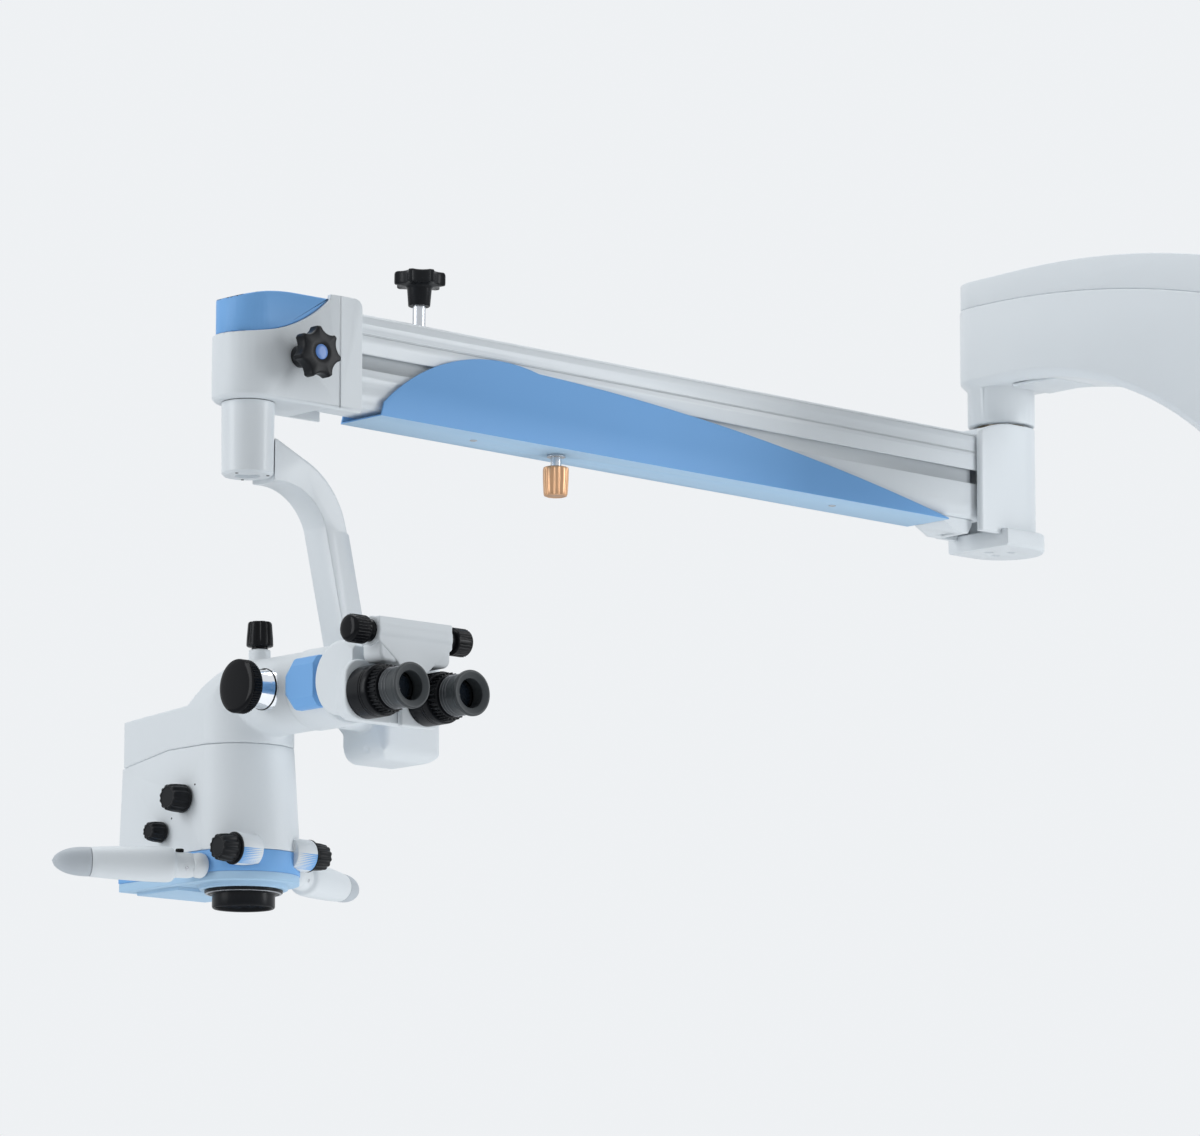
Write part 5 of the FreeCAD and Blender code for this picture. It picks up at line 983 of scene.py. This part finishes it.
HANDLE_FOOT, HANDLE_WAY = handle(-1, "left")
handle(1, "right")
turned("button_cap", [(
    [(0, 4.8), (3.45, 4.8), (3.45, 12.3), (3.3, 12.8), (2.8, 13.1), (0, 13.2)],
    HANDLE_FOOT + HANDLE_WAY * 18 * MM, UP, {"steps": 48}),
], BLACK_GLOSS, BODY_OF["handle_button"], ["handle_button"])

# Balance knob and its stem
BALANCE_X = LINK - 260.1
KNOB_TOP = on_lower(-BALANCE_X, 0, -24 - 10.5)
COPPER_FLUTES = hollows(10, 0.62)
turned("balance_grip", [(
    [(0, 0), (9.6, 0), (10.7, 0.5), (11.1, 1.4, 0.6), (11.2, 3, 1.3), (11.0, 12, 1.3),
     (10.6, 20, 1.3), (10.3, 23.6, 1.2),
     (9.7, 24.9, 0.9), (8.6, 25.3, 0.3), (7.6, 25.4), (7.2, 25.0), (0, 25.0)],
    KNOB_TOP, -BEAM_UP, {"steps": 200, "shape": COPPER_FLUTES}),
], COPPER, BODY_OF["balance_knob"], ["balance_knob"])

# Screws
screws("base_plate_screws", [(at(x, y, -397.9), DOWN) for x, y in ((-30, 62), (0, 84), (30, 62))],
       2.6, 0.5, DARK, "head")
screws("sleeve_screws", [(at(17 * math.cos(a), 17 * math.sin(a), -61), DOWN)
                         for a in (math.radians(-160), math.radians(-50), math.radians(65))],
       1.4, 0.25, DARK, "carrier")
screws("cover_screws", [(on_lower(-x, 0, -24.0), -BEAM_UP) for x in (180.0, LINK - 166.8)],
       3.2, 0.5, STEEL, BODY_OF["under_cover"])

# Camera, light and floor

CAMERA_PLACE = at(-3286.98, -4081.81, -1022.28)
camera_data = bpy.data.cameras.new("camera")
camera_data.sensor_width = 36.0
camera_data.lens = 195.0
camera_data.clip_end = 50.0
camera = bpy.data.objects.new("camera", camera_data)
camera.location = CAMERA_PLACE
camera.rotation_euler = (math.radians(90 + 9.6), 0, math.radians(-42))
bpy.context.scene.collection.objects.link(camera)
bpy.context.scene.camera = camera


def soft_light(name, place, target, size, power, colour=(0.96, 0.98, 1.0)):
    data = bpy.data.lights.new(name, "AREA")
    data.shape = "RECTANGLE"
    data.size, data.size_y = size
    data.energy = power
    data.color = colour
    light = bpy.data.objects.new(name, data)
    light.location = place
    light.rotation_euler = (Vector(target) - Vector(place)).to_track_quat("-Z", "Y").to_euler()
    light.visible_camera = False
    bpy.context.scene.collection.objects.link(light)


CENTRE = Vector((-0.5, 0.25, -0.1))
soft_light("left_wall", CENTRE + Vector((-3.2, 1.2, 0.9)), CENTRE, (1.4, 2.8), 48)
soft_light("right_wall", CENTRE + Vector((2.6, -2.9, 0.6)), CENTRE, (1.0, 2.6), 56)
soft_light("ceiling", CENTRE + Vector((0.3, 0.6, 2.8)), CENTRE, (2.6, 2.0), 46)
soft_light("low_table", CENTRE + Vector((0.1, -0.1, -1.25)), CENTRE, (3.4, 2.8), 13)

world = bpy.data.worlds.new("studio")
world.use_nodes = True
bpy.context.scene.world = world
tree = world.node_tree
tree.nodes.clear()
out = tree.nodes.new("ShaderNodeOutputWorld")
seen = tree.nodes.new("ShaderNodeBackground")
seen.inputs["Color"].default_value = (0.86, 0.88, 0.90, 1)
lit = tree.nodes.new("ShaderNodeBackground")
lit.inputs["Color"].default_value = (0.95, 0.98, 1.0, 1)
lit.inputs["Strength"].default_value = 0.36
path = tree.nodes.new("ShaderNodeLightPath")
either = tree.nodes.new("ShaderNodeMath")
either.operation = "MAXIMUM"
wire(tree, path.outputs["Is Camera Ray"], either.inputs[0])
wire(tree, path.outputs["Is Transmission Ray"], either.inputs[1])
any_seen = tree.nodes.new("ShaderNodeMath")
any_seen.operation = "MAXIMUM"
wire(tree, either.outputs[0], any_seen.inputs[0])
wire(tree, path.outputs["Is Glossy Ray"], any_seen.inputs[1])
mix = tree.nodes.new("ShaderNodeMixShader")
wire(tree, any_seen.outputs[0], mix.inputs["Fac"])
wire(tree, lit.outputs[0], mix.inputs[1])
wire(tree, seen.outputs[0], mix.inputs[2])
wire(tree, mix.outputs[0], out.inputs["Surface"])

floor_mesh = bpy.data.meshes.new("floor")
FLOOR_Z = FRONT.z - 1.45
floor_mesh.from_pydata([(-8, -8, FLOOR_Z), (8, -8, FLOOR_Z), (8, 8, FLOOR_Z), (-8, 8, FLOOR_Z)],
                       [], [(0, 1, 2, 3)])
floor = bpy.data.objects.new("floor", floor_mesh)
bpy.context.scene.collection.objects.link(floor)
floor_mesh.materials.append(finish("pale_floor", (0.85, 0.86, 0.87), 0.6, grain=40, depth=0.02))

bpy.context.scene.view_settings.view_transform = "Standard"
